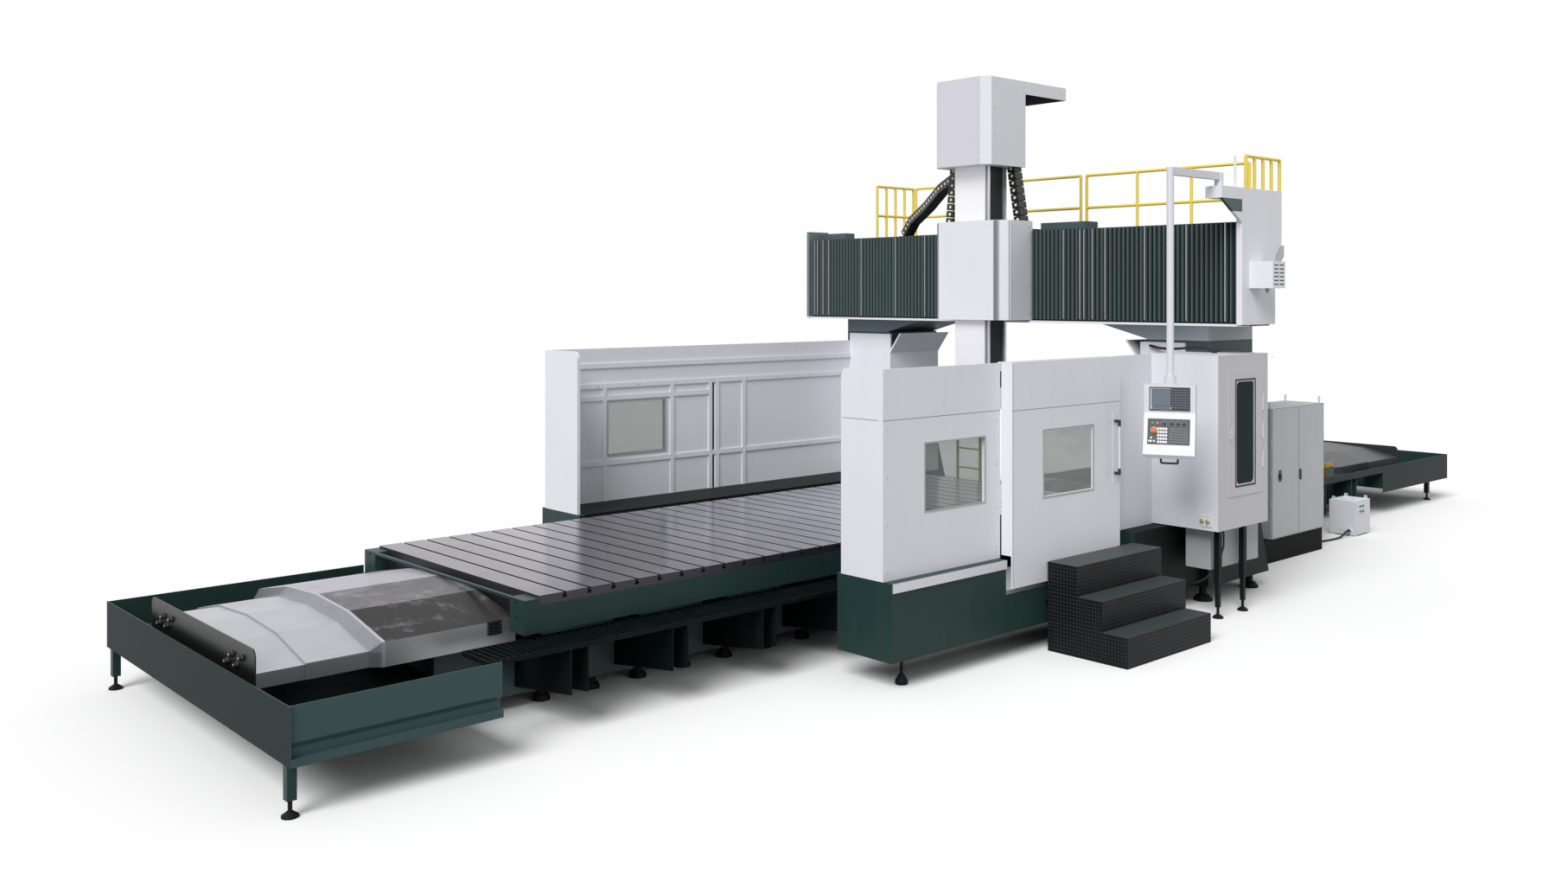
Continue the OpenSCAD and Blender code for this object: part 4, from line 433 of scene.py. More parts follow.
def tread(name, tint, pitch, rough, wear, relief, painted_sheen_boxes, *zones):
    """Tread plate with patches of wear and painted sheen boxes (low, high, share), where a painted
    highlight lightens the plate; plain in the zones.
    """
    tree, shader = new_material(name)
    look = sprayed_paint(tree, Colour=rgb(tint), Mottle=0.1, Roughness=rough, Dust=0.15)
    height = tread_studs(tree, Pitch=pitch)["Height"]
    # Painted highlight on the studs.
    shade = height.mix(look["Colour"], times(rgb(tint), PAINTED_STUD_HIGHLIGHT))
    patches = coords(tree).noise(3.5, 7, 0.75)
    wear_and_sheen = ((patches - 0.53).clamp() * wear).clamp()
    # Painted highlight: inside the boxes the plate lightens as if light fell on its slopes, over
    # the real wear.
    for low, high, share in painted_sheen_boxes:
        wear_and_sheen = (wear_and_sheen + inside(tree, low, high) * (patches * share)).clamp()
    for low, high, *_ in zones:
        height = height * (1 - inside(tree, low, high))
    feed(shader, **zoned(tree, wear_and_sheen.mix(shade, rgb(WEAR_AND_SHEEN_TINT)), look["Roughness"], 0, zones),
         Specular_IOR_Level=TREAD_SHEEN, Normal=height.bump(relief, 0.004))


def plastic(name, tint, rough):
    tree, shader = new_material(name)
    grain = coords(tree).noise(180, 2)
    feed(shader, Base_Color=(grain * 0.1).mix(rgb(tint), times(rgb(tint), 0.6)),
         Roughness=grain * 0.1 + rough, Normal=grain.bump(0.1, 0.0005))


def cloth(name, tint):
    """Woven cloth, with painted shade in the pleats and painted light on the ridges."""
    tree, shader = new_material(name)
    place = coords(tree)
    weave = place.noise(350, 2)
    depth = (place.split()[0] / PLEAT_DEPTH).clamp()
    tone = place.stretch((1, 6, 0.4)).noise(2, 3).mix(times(tint, 0.75), times(tint, 1.3))
    # Painted shade: darker deeper in the pleats.
    tone = depth.mix(tone, times(tint, 0.15))
    # Painted light: lighter on the ridges of the folds.
    tone = ((1 - depth) ** 2 * 0.75).mix(tone, rgb(PAINTED_RIDGE_LIGHT))
    feed(shader, Base_Color=tone, Roughness=weave * 0.2 + 0.5, Specular_IOR_Level=0.15,
         Normal=weave.bump(0.2, 0.0008))


def glass(name, tint, alpha, sheen):
    """Pane that shows what is behind it, with a light sheen and faint smears."""
    tree, shader = new_material(name)
    smear = coords(tree).stretch(SMEARS).noise(2, 4)
    feed(shader, Base_Color=smear.mix(rgb(tint), times(rgb(tint), 1.25)),
         Roughness=smear * 0.1 + 0.04, Alpha=alpha, Specular_IOR_Level=sheen)


def seen_directly(tree):
    """1 for rays from the camera, in reflections and through glass."""
    path = tree.nodes.new("ShaderNodeLightPath").outputs
    camera, glossy, through = (Wire(path[f"Is {kind} Ray"])
                               for kind in ("Camera", "Glossy", "Transmission"))
    return camera.maximum(glossy).maximum(through)


def build_materials():
    """Finishes; one that only a single solid has is named after that solid."""
    f = bpy.context.scene.machine_finishes
    white, green, dark, black, grey = f.white, f.green, f.casting, f.black, f.grey
    # shade is the white darkened as painted shade, for the magazine's front and door.
    steel, wall, pale, shade = "#c2c3c8", "#8f9095", "#d3d4da", "#bfbec3"
    enamel, tray, casting = (0.42, 0.05, 0.12, 0.5), (0.4, 0.14, 0.12, 0.16), (0.5, 0.18, 0.2, 0.2)
    panel, leaf = (0.4, 0.04, 0.08, 0.5), (0.42, 0.05, 0.1, 0.5)
    haunch, bracket = (2.9, 3.2398), (2.5, 4.2205)
    grip = {"x": (-1.6, -1.46), "y": (-3.1, -2.9045)}
    ram_sides = [(side - 0.0004, side + 0.0004) for side in (RAM_SIDE, -RAM_SIDE)]

    paint("white_paint", white, enamel)
    paint("green_paint", green, tray)
    paint("casting_paint", dark, casting)
    paint("grey_paint", grey, leaf)
    paint("black_paint", black, (0.5, 0.15, 0.12, 0.1))
    paint("pendant_paint", pale, panel)
    # Walkways: the grating's dark paint, darkened further as painted shade under the table.
    paint("walkways", "#0a1212", (0.5, 0.14, 0.12, 0.06))
    paint("front_tray", green, tray,
          # Painted light: the right wall a lighter, bluer green.
          zone("#3a4f51", 0.4, y=(LOW, -2.06)),
          # Painted shade: the front face darker.
          zone("#0a1a1b", 0.6, x=(LOW, -10.1497)))
    paint("rear_tray", green, tray,
          # Painted shade: the near side wall darkened.
          zone("#0e1817", 0.5, y=(LOW, -1.5845)),
          zone(f.brass, 0.3, 0.8, x=(6.09, 6.36), y=(-1.5768, -1.52), z=(0.7002, 1.02)))
    paint("guard_bases", green, tray,
          zone(steel, 0.3, 0.9, x=(LOW, -3.3), y=(-2.9, -2.8702), z=(0.9, 1)),
          zone(steel, 0.3, 0.9, x=(-3.346, -1.099), y=(LOW, 0), z=(0.649, 0.691)),
          # Painted shade: the right base darkened under the door and the magazine.
          zone("#070c0c", 0.6, x=(-1.098, HIGH), y=(LOW, 0)),
          zone("#0c1615", 0.6, x=(-4.9, HIGH), y=(1.5, 2.86), z=(0.5, HIGH)))
    # Painted shade: the right column darker low down.
    paint("columns", dark, casting, zone("#0a1112", 0.6, y=(LOW, -1.9), z=(LOW, 1.2)))
    paint("crossbeam", dark, casting,
          # Painted light: the haunches' front faces lightened where the beam shades them, the right
          # one more.
          zone("#76838a", 0.5, x=(LOW, 0.2803), z=haunch),
          zone("#b8c6ca", 0.5, x=(LOW, 0.2803), y=(LOW, 0), z=haunch),
          # Painted light: the haunch's right end and the crossbeam's right face below the end cover
          # lightened.
          zone("#b4bdc0", 0.5, x=(0.28, HIGH), y=(LOW, -2.955), z=(3.0605, 3.2398)),
          zone("#8f9396", 0.5, x=(0.42, 1.28), y=(LOW, -2.97), z=(3.2, 4.4195)))
    paint("platform", f.yellow, (0.35, 0.08, 0.05, 0.5),
          zone("#6a7274", 0.5, z=bracket),
          # Painted light: the right-most bracket lighter than the others.
          zone("#b9bbbf", 0.5, y=(LOW, -2.6), z=bracket))
    paint("beam_end_covers", white, enamel,
          zone("#68757a", 0.5, y=(3.4795, HIGH), z=(3.27, 4.6)),
          zone(dark, 0.5, x=(0.199, 0.395), y=(2.9, 3.4799), z=(4.4202, 4.52)),
          # Painted shade in the louvre recesses of the vented box.
          zone("#5c6064", 0.6, x=(0.14, 0.4), y=(-3.8297, -3.8205), z=(3.68, 3.96)))
    paint("pendant_bracket", white, enamel, zone("#2c4345", 0.45, z=(4.52, 4.6598)))
    paint("pendant_panel", pale, panel, zone("#08090a", 0.5, z=(LOW, 1.8895)))
    paint("electrical_cabinet", grey, (0.5, 0.05, 0.1, 0.08),
          # Painted shade: the cabinet's side a darker grey than its front.
          zone("#9fa1a5", 0.5, x=(LOW, 3.0603), z=(0.33, HIGH)),
          zone("#070808", 0.6, z=(LOW, 0.3201)))
    paint("cabinet_door_paint", grey, leaf, zone(black, 0.4, y=(LOW, -2.2903)))
    paint("main_switch", black, (0.4, 0.05, 0.05, 0.5),
          zone("#7d8083", 0.4, y=(LOW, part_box("main_switch")[0].y + 0.011)))
    paint("magazine_cabinet", white, enamel,
          # Painted shade: the front face a darker white.
          zone(shade, 0.42, y=(LOW, MAG_LO.y + 0.0015), z=(0.9998, HIGH)),
          zone("#a6a7ab", 0.45, y=(-3.301, -2.98), z=(0.4, 0.9998)))
    # Painted shade: the door the same darker white.
    paint("magazine_door", shade, enamel, zone(steel, 0.35, 0.9, x=(0.4951, HIGH)))
    paint("guard_door", white, enamel,
          zone("#1d1f21", 0.4, z=(1.5, 2.4), **grip),
          zone("#cfd0d4", 0.4, 0.2, z=(1.74, 2.19), **grip))
    paint("head_cover", white, enamel,
          # Painted shade: the front face a little darker than the chamfer beside it.
          zone("#cbcad3", 0.42, x=(LOW, HEAD_LO.x + 0.0005)),
          # Painted shade under the roof's overhang.
          zone("#26302f", 0.6, x=(0.112, 0.9785), y=(-0.4535, 0.4535), z=(6.1, 6.3485)))

    metal("bright_steel", steel, 0.28, ALONG_Z, 0.1)
    metal("stiffener_steel", "#b4b2bd", 0.35, ALONG_Z, 0.1)
    metal("guide_rails", "#a9aab0", 0.25, ALONG_X, 0.1)
    metal("dull_cover_steel", "#46484c", 0.42, ALONG_X, 0.2)
    metal("pale_brass", "#d9cfae", 0.3, (20, 20, 20), 0.1)
    metal("table", f.ground, 0.17, ALONG_Y, 0.3,
          # Painted shade: darker inside the T-slots and on the table's sides, below its top.
          zone("#3a3a40", 0.4, 0.6, z=(LOW, TABLE_HI.z - 0.0005)),
          # Painted highlight: the table's top lightens towards the rear as if it reflected a lamp.
          painted_highlight=(-7.4, -3.2, "#cfccd6"))
    metal("cover_steel", f.sheet, 0.34, ALONG_X, 0.2,
          zone(wall, 0.4, 0.9, y=(LOW, -1.1895), z=(LOW, 0.8)))
    metal("cover_fixed_ends", f.sheet, 0.34, ALONG_X, 0.2,
          zone(wall, 0.4, 0.9, y=(LOW, -1.1895), z=(LOW, 0.7978)),
          zone("#060708", 0.4, x=(LOW, -10.0298)),
          zone("#4b4d50", 0.45, 0.6, x=(5, 9.5298)),
          zone(black, 0.5, x=(9.5298, HIGH)))
    metal("ram", "#e6e6ec", 0.38, ALONG_Z, 0.06,
          zone(black, 0.4, 0.3, x=(-0.0125, 0.01), y=(-0.031, 0.031)),
          zone("#f0f0f4", 0.36, 0.35, x=(LOW, -0.4617)),
          *(zone("#2a2d30", 0.5, x=(-0.436, -0.42), y=y, z=(2.4, HIGH)) for y in ram_sides),
          *(zone("#0b1112", 0.6, x=(-0.384, -0.09), y=y, z=(2.4, HIGH)) for y in ram_sides))
    tread("steps", f.tread, 0.075, 0.42, 0, 0.6, [],
          # Painted light: the tops of the steps lighter than their risers.
          *(zone("#3b4243", 0.42, z=(z - 0.0006, z + 0.0006)) for z in spaced(0, STEPS_HI.z, 4)))
    tread("cover_table_ends", "#121111", 0.05, 0.32, 2.2, 0.15,
          # Painted sheen boxes: a painted highlight on the middle band and the left half of the
          # cover's top.
          [(*box(y=(-0.62, 0)), 0.5), (*box(y=(0, HIGH)), 2.2)],
          zone(wall, 0.4, 0.9, y=(LOW, -1.2738)), zone(wall, 0.4, 0.9, y=(1.2738, HIGH)),
          zone(f.sheet, 0.34, 0.9, x=(LOW, -9.055)), zone(f.sheet, 0.34, 0.9, x=(1.455, HIGH)))
    cloth("bellows_cloth", f.cloth)
    glass("window_glass", "#5f6c66", 0.5, 0.5)
    glass("magazine_door_glass", "#0a2221", 0.97, 0.04)
    for name, tint, rough in (
            ("black_plastic", black, 0.35), ("black_rubber", "#101112", 0.6),
            ("emergency_stop", f.red, 0.25), ("yellow_plastic", "#e0b414", 0.3),
            ("start_button", "#2f8f4a", 0.3), ("hold_button", "#d0771c", 0.3),
            ("grey_gasket", "#a5a7a9", 0.5), ("sheet_seam", "#77797e", 0.6),
            ("chain_pin", "#e2dcb4", 0.4), ("key_caps", "#6d7176", 0.4),
            ("key_field", "#2f3336", 0.45), ("screen", "#666f7a", 0.2)):
        plastic(name, tint, rough)


# Solids that share a finish
SHARED_FINISH = {
    "casting_paint": "bed saddle", "black_paint": "levelling_feet", "green_paint": "table_skirt",
    "white_paint": "guard_panels transformer_box saddle_cover", "pendant_paint": "pendant_arm",
    "cabinet_door_paint": "cabinet_door_left cabinet_door_right",
    "bright_steel": "spindle tool_disc", "window_glass": "guard_windows guard_door_glass",
    "bellows_cloth": "bellows_left bellows_right", "black_rubber": "transformer_cable",
    "black_plastic": "mode_knob feed_knob rapid_knob speed_knob energy_chains",
    "dull_cover_steel": " ".join(f"rear_cover_{number}" for number in range(2, 8)),
    "cover_steel": " ".join(f"front_cover_{number}" for number in range(2, 8)),
}
NODE_FINISH = {node: name for name, nodes in SHARED_FINISH.items() for node in nodes.split()}


# Mesh building

def add_object(name, data):
    made = bpy.data.objects.new(name, data)
    bpy.context.scene.collection.objects.link(made)
    return made


def circle(sides):
    """Cosine and sine of the angles of a regular polygon."""
    turns = [TURN * k / sides for k in range(sides)]
    return [(math.cos(turn), math.sin(turn)) for turn in turns]


class Shape:
    """Collects simple solids into one mesh."""

    def __init__(self):
        self.mesh = bmesh.new()

    def block(self, low, high, bevel=0, turn=None):
        centre, size = (Vector(low) + Vector(high)) / 2, Vector(high) - Vector(low)
        place = Matrix.Translation(centre) @ Matrix.Diagonal((*size, 1))
        verts = bmesh.ops.create_cube(self.mesh, size=1, matrix=place)["verts"]
        if bevel:
            edges = {edge for vert in verts for edge in vert.link_edges}
            bmesh.ops.bevel(self.mesh, geom=list(edges), offset=bevel, segments=2, affect="EDGES",
                            profile=0.5)
        if turn is not None:
            bmesh.ops.transform(self.mesh, matrix=turn, verts=verts)
        return self

    def rod(self, start, end, radius, sides=16, radius_end=None):
        start, end = Vector(start), Vector(end)
        turn = (end - start).to_track_quat("Z", "Y").to_matrix().to_4x4()
        bmesh.ops.create_cone(self.mesh, cap_ends=True, segments=sides, radius1=radius,
                              radius2=radius if radius_end is None else radius_end,
                              depth=(end - start).length,
                              matrix=Matrix.Translation((start + end) / 2) @ turn)
        return self

    def skin(self, rings):
        """Capped solid through rings of points."""
        rings = [[self.mesh.verts.new(point) for point in ring] for ring in rings]
        for low, high in zip(rings, rings[1:]):
            for k in range(len(low)):
                after = (k + 1) % len(low)
                self.mesh.faces.new((low[k], low[after], high[after], high[k]))
        self.mesh.faces.new(list(reversed(rings[0])))
        self.mesh.faces.new(rings[-1])
        return self

    def tube(self, points, radius, sides=10):
        points = [Vector(p) for p in points]
        rings = []
        for before, point, after in zip(points[:1] + points, points, points[1:] + points[-1:]):
            side = (after - before).cross(Vector((0, 0, 1))).normalized()
            up = side.cross(after - before).normalized()
            rings.append([point + radius * (c * side + s * up) for c, s in circle(sides)])
        return self.skin(rings)

    def lathe(self, rings, sides=16):
        """Solid of revolution about Z through (radius, height) rings."""
        return self.skin([[(r * c, r * s, z) for c, s in circle(sides)] for r, z in rings])

    def frame(self, low, high, axis, width):
        """Four bars round a rectangle that is flat along axis."""
        u, v = [i for i in range(3) if i != axis]
        for across in (u, v):
            for at_end in (False, True):
                a, b = Vector(low), Vector(high)
                if at_end:
                    a[across] = high[across] - width
                else:
                    b[across] = low[across] + width
                if across == v:
                    a[u] += width
                    b[u] -= width
                self.block(a, b)
        return self

    def turned(self, matrix):
        bmesh.ops.transform(self.mesh, matrix=matrix, verts=self.mesh.verts)
        return self

    def part(self, name, smooth=False):
        """Object without a finish or a body."""
        bmesh.ops.recalc_face_normals(self.mesh, faces=self.mesh.faces)
        data = bpy.data.meshes.new(name)
        self.mesh.to_mesh(data)
        self.mesh.free()
        if smooth:
            data.shade_smooth()
        return add_object(name, data)

    def make(self, name, body, material, slot, smooth=False):
        piece = self.part(name, smooth)
        piece.data.materials.append(finish(material))
        if body:
            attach(piece, body)
        return piece


# Geometry Nodes for what repeats

COPYING_NODES = {
    "enter": "NodeGroupInput", "leave": "NodeGroupOutput", "info": "GeometryNodeObjectInfo",
    "spread": "GeometryNodeInstanceOnPoints", "real": "GeometryNodeRealizeInstances",
    "finish": "GeometryNodeSetMaterial",
}
COPYING_LINKS = ("enter.Part>info.Object info.Geometry>spread.Instance "
                 "spread.Instances>real.Geometry real.Geometry>finish.Geometry "
                 "enter.Finish>finish.Material finish.Geometry>leave.Parts ")


def copying_tree(name, inputs, links, nodes=(), settings=()):
    """Tree that copies a part onto points; links are written node.Output>node.Input."""
    tree = bpy.data.node_groups.get(name)
    if tree:
        return tree
    tree = bpy.data.node_groups.new(name, "GeometryNodeTree")
    for label, kind in {**inputs, "Part": "Object", "Finish": "Material"}.items():
        tree.interface.new_socket(label, in_out="INPUT", socket_type="NodeSocket" + kind)
    tree.interface.new_socket("Parts", in_out="OUTPUT", socket_type="NodeSocketGeometry")
    made = {key: tree.nodes.new(kind) for key, kind in {**COPYING_NODES, **dict(nodes)}.items()}
    for key, attribute, value in settings:
        setattr(made[key], attribute, value)
    for link in (COPYING_LINKS + links).split():
        (source, output), (target, socket) = (end.split(".") for end in link.split(">"))
        tree.links.new(made[source].outputs[output], made[target].inputs[socket])
    return tree


def repeats_tree():
    """A part at each point of a mesh, turned one way."""
    return copying_tree("Repeats", {"Points": "Geometry", "Turn": "Rotation"},
                        "enter.Points>spread.Points enter.Turn>spread.Rotation")


def chain_tree():
    """A part at each step of a route, turned to the route's direction."""
    align = "FunctionNodeAlignRotationToVector"
    return copying_tree(
        "Chain links", {"Route": "Geometry", "Pitch": "Float"},
        "enter.Route>curve.Mesh curve.Curve>steps.Curve enter.Pitch>steps.Length "
        "tangent.Tangent>level.Vector tangent.Tangent>align.Vector level.Rotation>align.Rotation "
        "steps.Curve>spread.Points align.Rotation>spread.Rotation",
        {"curve": "GeometryNodeMeshToCurve", "steps": "GeometryNodeResampleCurve",
         "tangent": "GeometryNodeInputTangent", "level": align, "align": align},
        [("steps", "mode", "LENGTH"), ("level", "axis", "X"), ("level", "pivot_axis", "Z"),
         ("align", "axis", "Z"), ("align", "pivot_axis", "Y")])


def run_tree(name, tree, points, edges=(), **inputs):
    """Runs a tree on points with its inputs set, and returns the plain mesh as a new object."""
    data = bpy.data.meshes.new(name + "_points")
    data.from_pydata([Vector(p) for p in points], edges, [])
    source = add_object(name + "_source", data)
    modifier = source.modifiers.new(tree.name, "NODES")
    modifier.node_group = tree
    for item in tree.interface.items_tree:
        if item.in_out == "INPUT" and item.name in inputs:
            modifier[item.identifier] = inputs[item.name]
    graph = bpy.context.evaluated_depsgraph_get()
    mesh = bpy.data.meshes.new_from_object(source.evaluated_get(graph))
    bpy.data.objects.remove(source)
    if not mesh.polygons:
        raise RuntimeError(f"{name}: the tree made no faces")
    mesh.name = name
    return add_object(name, mesh)


def repeat(name, shape, points, turn, body, material):
    """Copies of a shape, which stands along Z at the origin, at the points."""
    part = shape.part(name + "_part")
    piece = run_tree(name, repeats_tree(), points, Part=part, Turn=turn, Finish=finish(material))
    bpy.data.objects.remove(part)
    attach(piece, body)


def facing(direction):
    return Vector(direction).to_track_quat("Z", "Y").to_euler()


def screws(name, points, direction, body, material="bright_steel", radius=None):
    """Domed screw heads with a sunk socket."""
    radius = details().screw_radius if radius is None else radius
    rings = [(1, 0), (1, 0.225), (0.75, 0.45), (0.45, 0.45), (0.4, 0.18)]
    head = Shape().lathe([(radius * r, radius * h) for r, h in rings], 12)
    repeat(name, head, points, facing(direction), body, material)


# Operators

DONE = {"FINISHED"}


class MachineOperator:
    """What the operators share."""

    bl_options = {"REGISTER", "UNDO"}


class MACHINE_OT_stage(MachineOperator, bpy.types.Operator):
    """Camera, floor, lamps and world"""

    bl_idname = "machine.stage"
    bl_label = "Stage"

    view_depth = 500
    half_floor = 160
    lamp_distance = 20

    def execute(self, context):
        scene = bpy.context.scene
        settings = scene.machine_stage
        data = bpy.data.cameras.new("View")
        data.lens, data.shift_y, data.clip_end = settings.lens, settings.shift, self.view_depth
        scene.camera = add_object("View", data)
        scene.camera.location = settings.camera
        scene.camera.rotation_euler = Vector(settings.aim).to_track_quat("-Z", "Y").to_euler()
        scene.view_settings.view_transform = "Standard"
        self.floor(self.half_floor)
        scene.world = bpy.data.worlds.new("Studio")
        scene.world.use_nodes = True
        tree, ambient = scene.world.node_tree, settings.ambient
        feed(tree.nodes["Background"], Color=(1, 1, 1),
             Strength=seen_directly(tree) * (1 - ambient) + ambient)
        for name, towards, power in (("Key", settings.key_from, settings.key),
                                     ("Fill", settings.fill_from, settings.fill)):
            data = bpy.data.lights.new(name, "SUN")
            data.energy, data.angle = power, settings.softness
            lamp = add_object(name, data)
            lamp.location = Vector(towards) * self.lamp_distance
            lamp.rotation_euler = facing(towards)
        return DONE

    def floor(self, half):
        """Pale floor with the machine's shadow; it looks white, and throws little light back up."""
        tree, shader = new_material("pale_floor")
        feed(shader, Base_Color=seen_directly(tree).mix((0.35, 0.35, 0.35), (0.92, 0.92, 0.92)),
             Roughness=0.9, Specular_IOR_Level=0)
        data = bpy.data.meshes.new("Floor")
        data.from_pydata([(-half, -half, 0), (half, -half, 0), (half, half, 0), (-half, half, 0)],
                         [], [(0, 1, 2, 3)])
        data.materials.append(MATERIALS["pale_floor"])
        floor = add_object("Floor", data)


class MACHINE_OT_cable(MachineOperator, bpy.types.Operator):
    """Cable between the transformer and the electrical cabinet"""

    bl_idname = "machine.cable"
    bl_label = "Transformer cable"

    steps = 4
    relief_length = 0.045

    def execute(self, context):
        path = self.smooth(CABLE_ROUTE)
        length = sum((b - a).length for a, b in zip(path, path[1:]))
        sheath = Shape().tube(path, CABLE_RADIUS, 16)
        piece = sheath.make("transformer_cable_sheath", "frame", "black_rubber", "cable", True)
        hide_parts("transformer_cable")
        relief = Shape()
        for end, out in ((CABLE_ROUTE[0], 1), (CABLE_ROUTE[-1], -1)):
            tip = Vector(end) - Vector((self.relief_length * out, 0, 0))
            relief.rod(end, tip, 0.022, 20, 0.0165)
        relief.make("cable_strain_reliefs", "frame", "black_rubber", "cable", True)
        return DONE

    def smooth(self, route):
        """Catmull-Rom curve through the route's points."""
        points = [Vector(p) for p in route]
        points = [2 * points[0] - points[1], *points, 2 * points[-1] - points[-2]]
        path = []
        for a, b, c, d in zip(points, points[1:], points[2:], points[3:]):
            for t in (i / self.steps for i in range(self.steps)):
                path.append(0.5 * (2 * b + (c - a) * t + (2 * a - 5 * b + 4 * c - d) * t ** 2
                                   + (3 * b - a - 3 * c + d) * t ** 3))
        return path + [points[-2]]


class MACHINE_OT_finishes(MachineOperator, bpy.types.Operator):
    """Finishes of the solids themselves"""

    bl_idname = "machine.finishes"
    bl_label = "Finishes"

    def execute(self, context):
        for name, node in NODES.items():
            node.data.materials.clear()
            node.data.materials.append(finish(NODE_FINISH.get(name, name)))
        return DONE


class MACHINE_OT_bellows(MachineOperator, bpy.types.Operator):
    """Pleated covers of the crossbeam, with steel stiffeners on some folds"""

    bl_idname = "machine.bellows"
    bl_label = "Bellows"

    pleats = 47
    cloth = 0.0025
    nearest = 0.03
    stiffened = {"bellows_left": (3.41, 3.3, 3.19, 3.07, 2.38, 1.75, 1.16),
                 "bellows_right": (1.12, 1.34, 1.46, 1.53, 1.73, 2.3, 2.86, 3.31)}

    def execute(self, context):
        count = details().segments
        ends = [round(self.pleats * number / count) for number in range(count + 1)]
        for node, side in (("bellows_left", 1), ("bellows_right", -1)):
            for number, (first, last) in enumerate(zip(ends, ends[1:]), 1):
                self.segment(node, side, number, first, last)
        return DONE

    def place(self, side, fold):
        """Y of a fold, counted from the fixed end."""
        near, far = BELLOWS_LO.y, BELLOWS_HI.y
        return side * (far - (far - near) * fold / self.pleats)

    def segment(self, node, side, number, first, last):
        bottom, top, front = BELLOWS_LO.z, BELLOWS_HI.z, BELLOWS_LO.x + 0.001
        rings = []
        for half in range(2 * first, 2 * last + 1):
            x, y = front + (0 if half % 2 else PLEAT_DEPTH), self.place(side, half / 2)
            back = x + self.cloth
            rings.append([(x, y, bottom), (x, y, top), (back, y, top), (back, y, bottom)])
        pleated = Shape().skin(rings)
        piece = pleated.make(f"{node}_cloth_{number}", None, "bellows_cloth", "bellows_cloth")
        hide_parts(node)
        self.stretch(piece, side, first, last)

        ridges = [self.place(side, fold + 0.5) for fold in range(first, last)]
        chosen = [y for y in ridges if any(abs(abs(y) - place) < self.nearest
                                           for place in self.stiffened[node])]
        if chosen:
            half = details().stiffener / 2
            strips = Shape()
            for y in chosen:
                strips.block((front - 0.004, y - half, bottom + 0.01),
                             (front + 0.004, y + half, top - 0.01), 0.001)
            piece = strips.make(f"{node}_stiffeners_{number}", None, "stiffener_steel",
                                "bellows_cloth")
            self.stretch(piece, side, first, last)

    def stretch(self, piece, side, first, last):
        """Works out how the piece would spread over the whole bellows, which nothing uses, and
        bakes its place into its mesh.
        """
        y0, y1 = self.place(side, first), self.place(side, last)
        u0, u1 = (self.smoothstep_inverse(fold / self.pleats) for fold in (first, last))
        run = (y1 - y0) / (u1 - u0)
        start = y0 - u0 * run
        start + run
        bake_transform(piece)

    def smoothstep_inverse(self, weight):
        return 0.5 - math.sin(math.asin(1 - 2 * weight) / 3)


class MACHINE_OT_chains(MachineOperator, bpy.types.Operator):
    """Energy chains between the saddle and the head, and the feet that hold them"""

    bl_idname = "machine.chains"
    bl_label = "Energy chains"

    pitch = 0.085
    half_width, half_height, half_link = 0.068, 0.06, 0.0425
    half_foot = 0.066
    saddle_seat = -0.021

    def execute(self, context):
        for part, material, shape in (("plates", "black_plastic", self.plates()),
                                      ("pins", "chain_pin", self.pins())):
            link = shape.part("chain_link")
            for name, route in CHAIN_ROUTES.items():
                edges = [(i, i + 1) for i in range(len(route) - 1)]
                piece = run_tree(f"{name}_{part}", chain_tree(), route, edges, Part=link,
                                 Pitch=self.pitch, Finish=finish(material))
                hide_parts("energy_chains")
                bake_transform(piece)
            bpy.data.objects.remove(link)
        low, high = Shape(), Shape()
        for start, *_, end in CHAIN_ROUTES.values():
            self.foot(low, start, self.saddle_seat)
            self.foot(high, end, HEAD_LO.z - end[2] - 0.001)
        low.make("chain_feet_saddle", "saddle", "black_plastic", "chain_plastic")
        high.make("chain_feet_head", "ram", "black_plastic", "chain_plastic")
        return DONE

    def foot(self, shape, place, seat):
        """Block with two bolts between the end of a chain and its seat."""
        (x, y, z), half = place, self.half_foot
        z0, z1 = sorted((z, z + seat))
        shape.block((x - half, y - half, z0), (x + half, y + half, z1), 0.004)
        for bolt in (x - 0.045, x + 0.045):
            shape.rod((bolt, y - 0.07, z + seat / 2), (bolt, y + 0.07, z + seat / 2), 0.008, 10)

    def plates(self):
        """Side plates, cross bars and inner cables of one link, along Z."""
        width, height, length = self.half_width, self.half_height, self.half_link
        shape = Shape()
        for y in (-width, width):
            shape.block((-height, y - 0.006, -length), (height, y + 0.006, length), 0.004)
        for x, y in grid((-0.028, 0.028), (-0.03, 0.03)):
            shape.rod((x, y, -length), (x, y, length), 0.024, 10)
        for x in (-height + 0.012, height - 0.012):
            shape.block((x - 0.006, -width, -length), (x + 0.006, width, length), 0.002)
        return shape

    def pins(self):
        """Both ends of the pin of one link."""
        shape = Shape()
        for side in (-1, 1):
            near, far = side * (self.half_width + 0.002), side * (self.half_width + 0.009)
            shape.rod((0, near, 0), (0, far, 0), 0.022, 14, 0.018)
        return shape


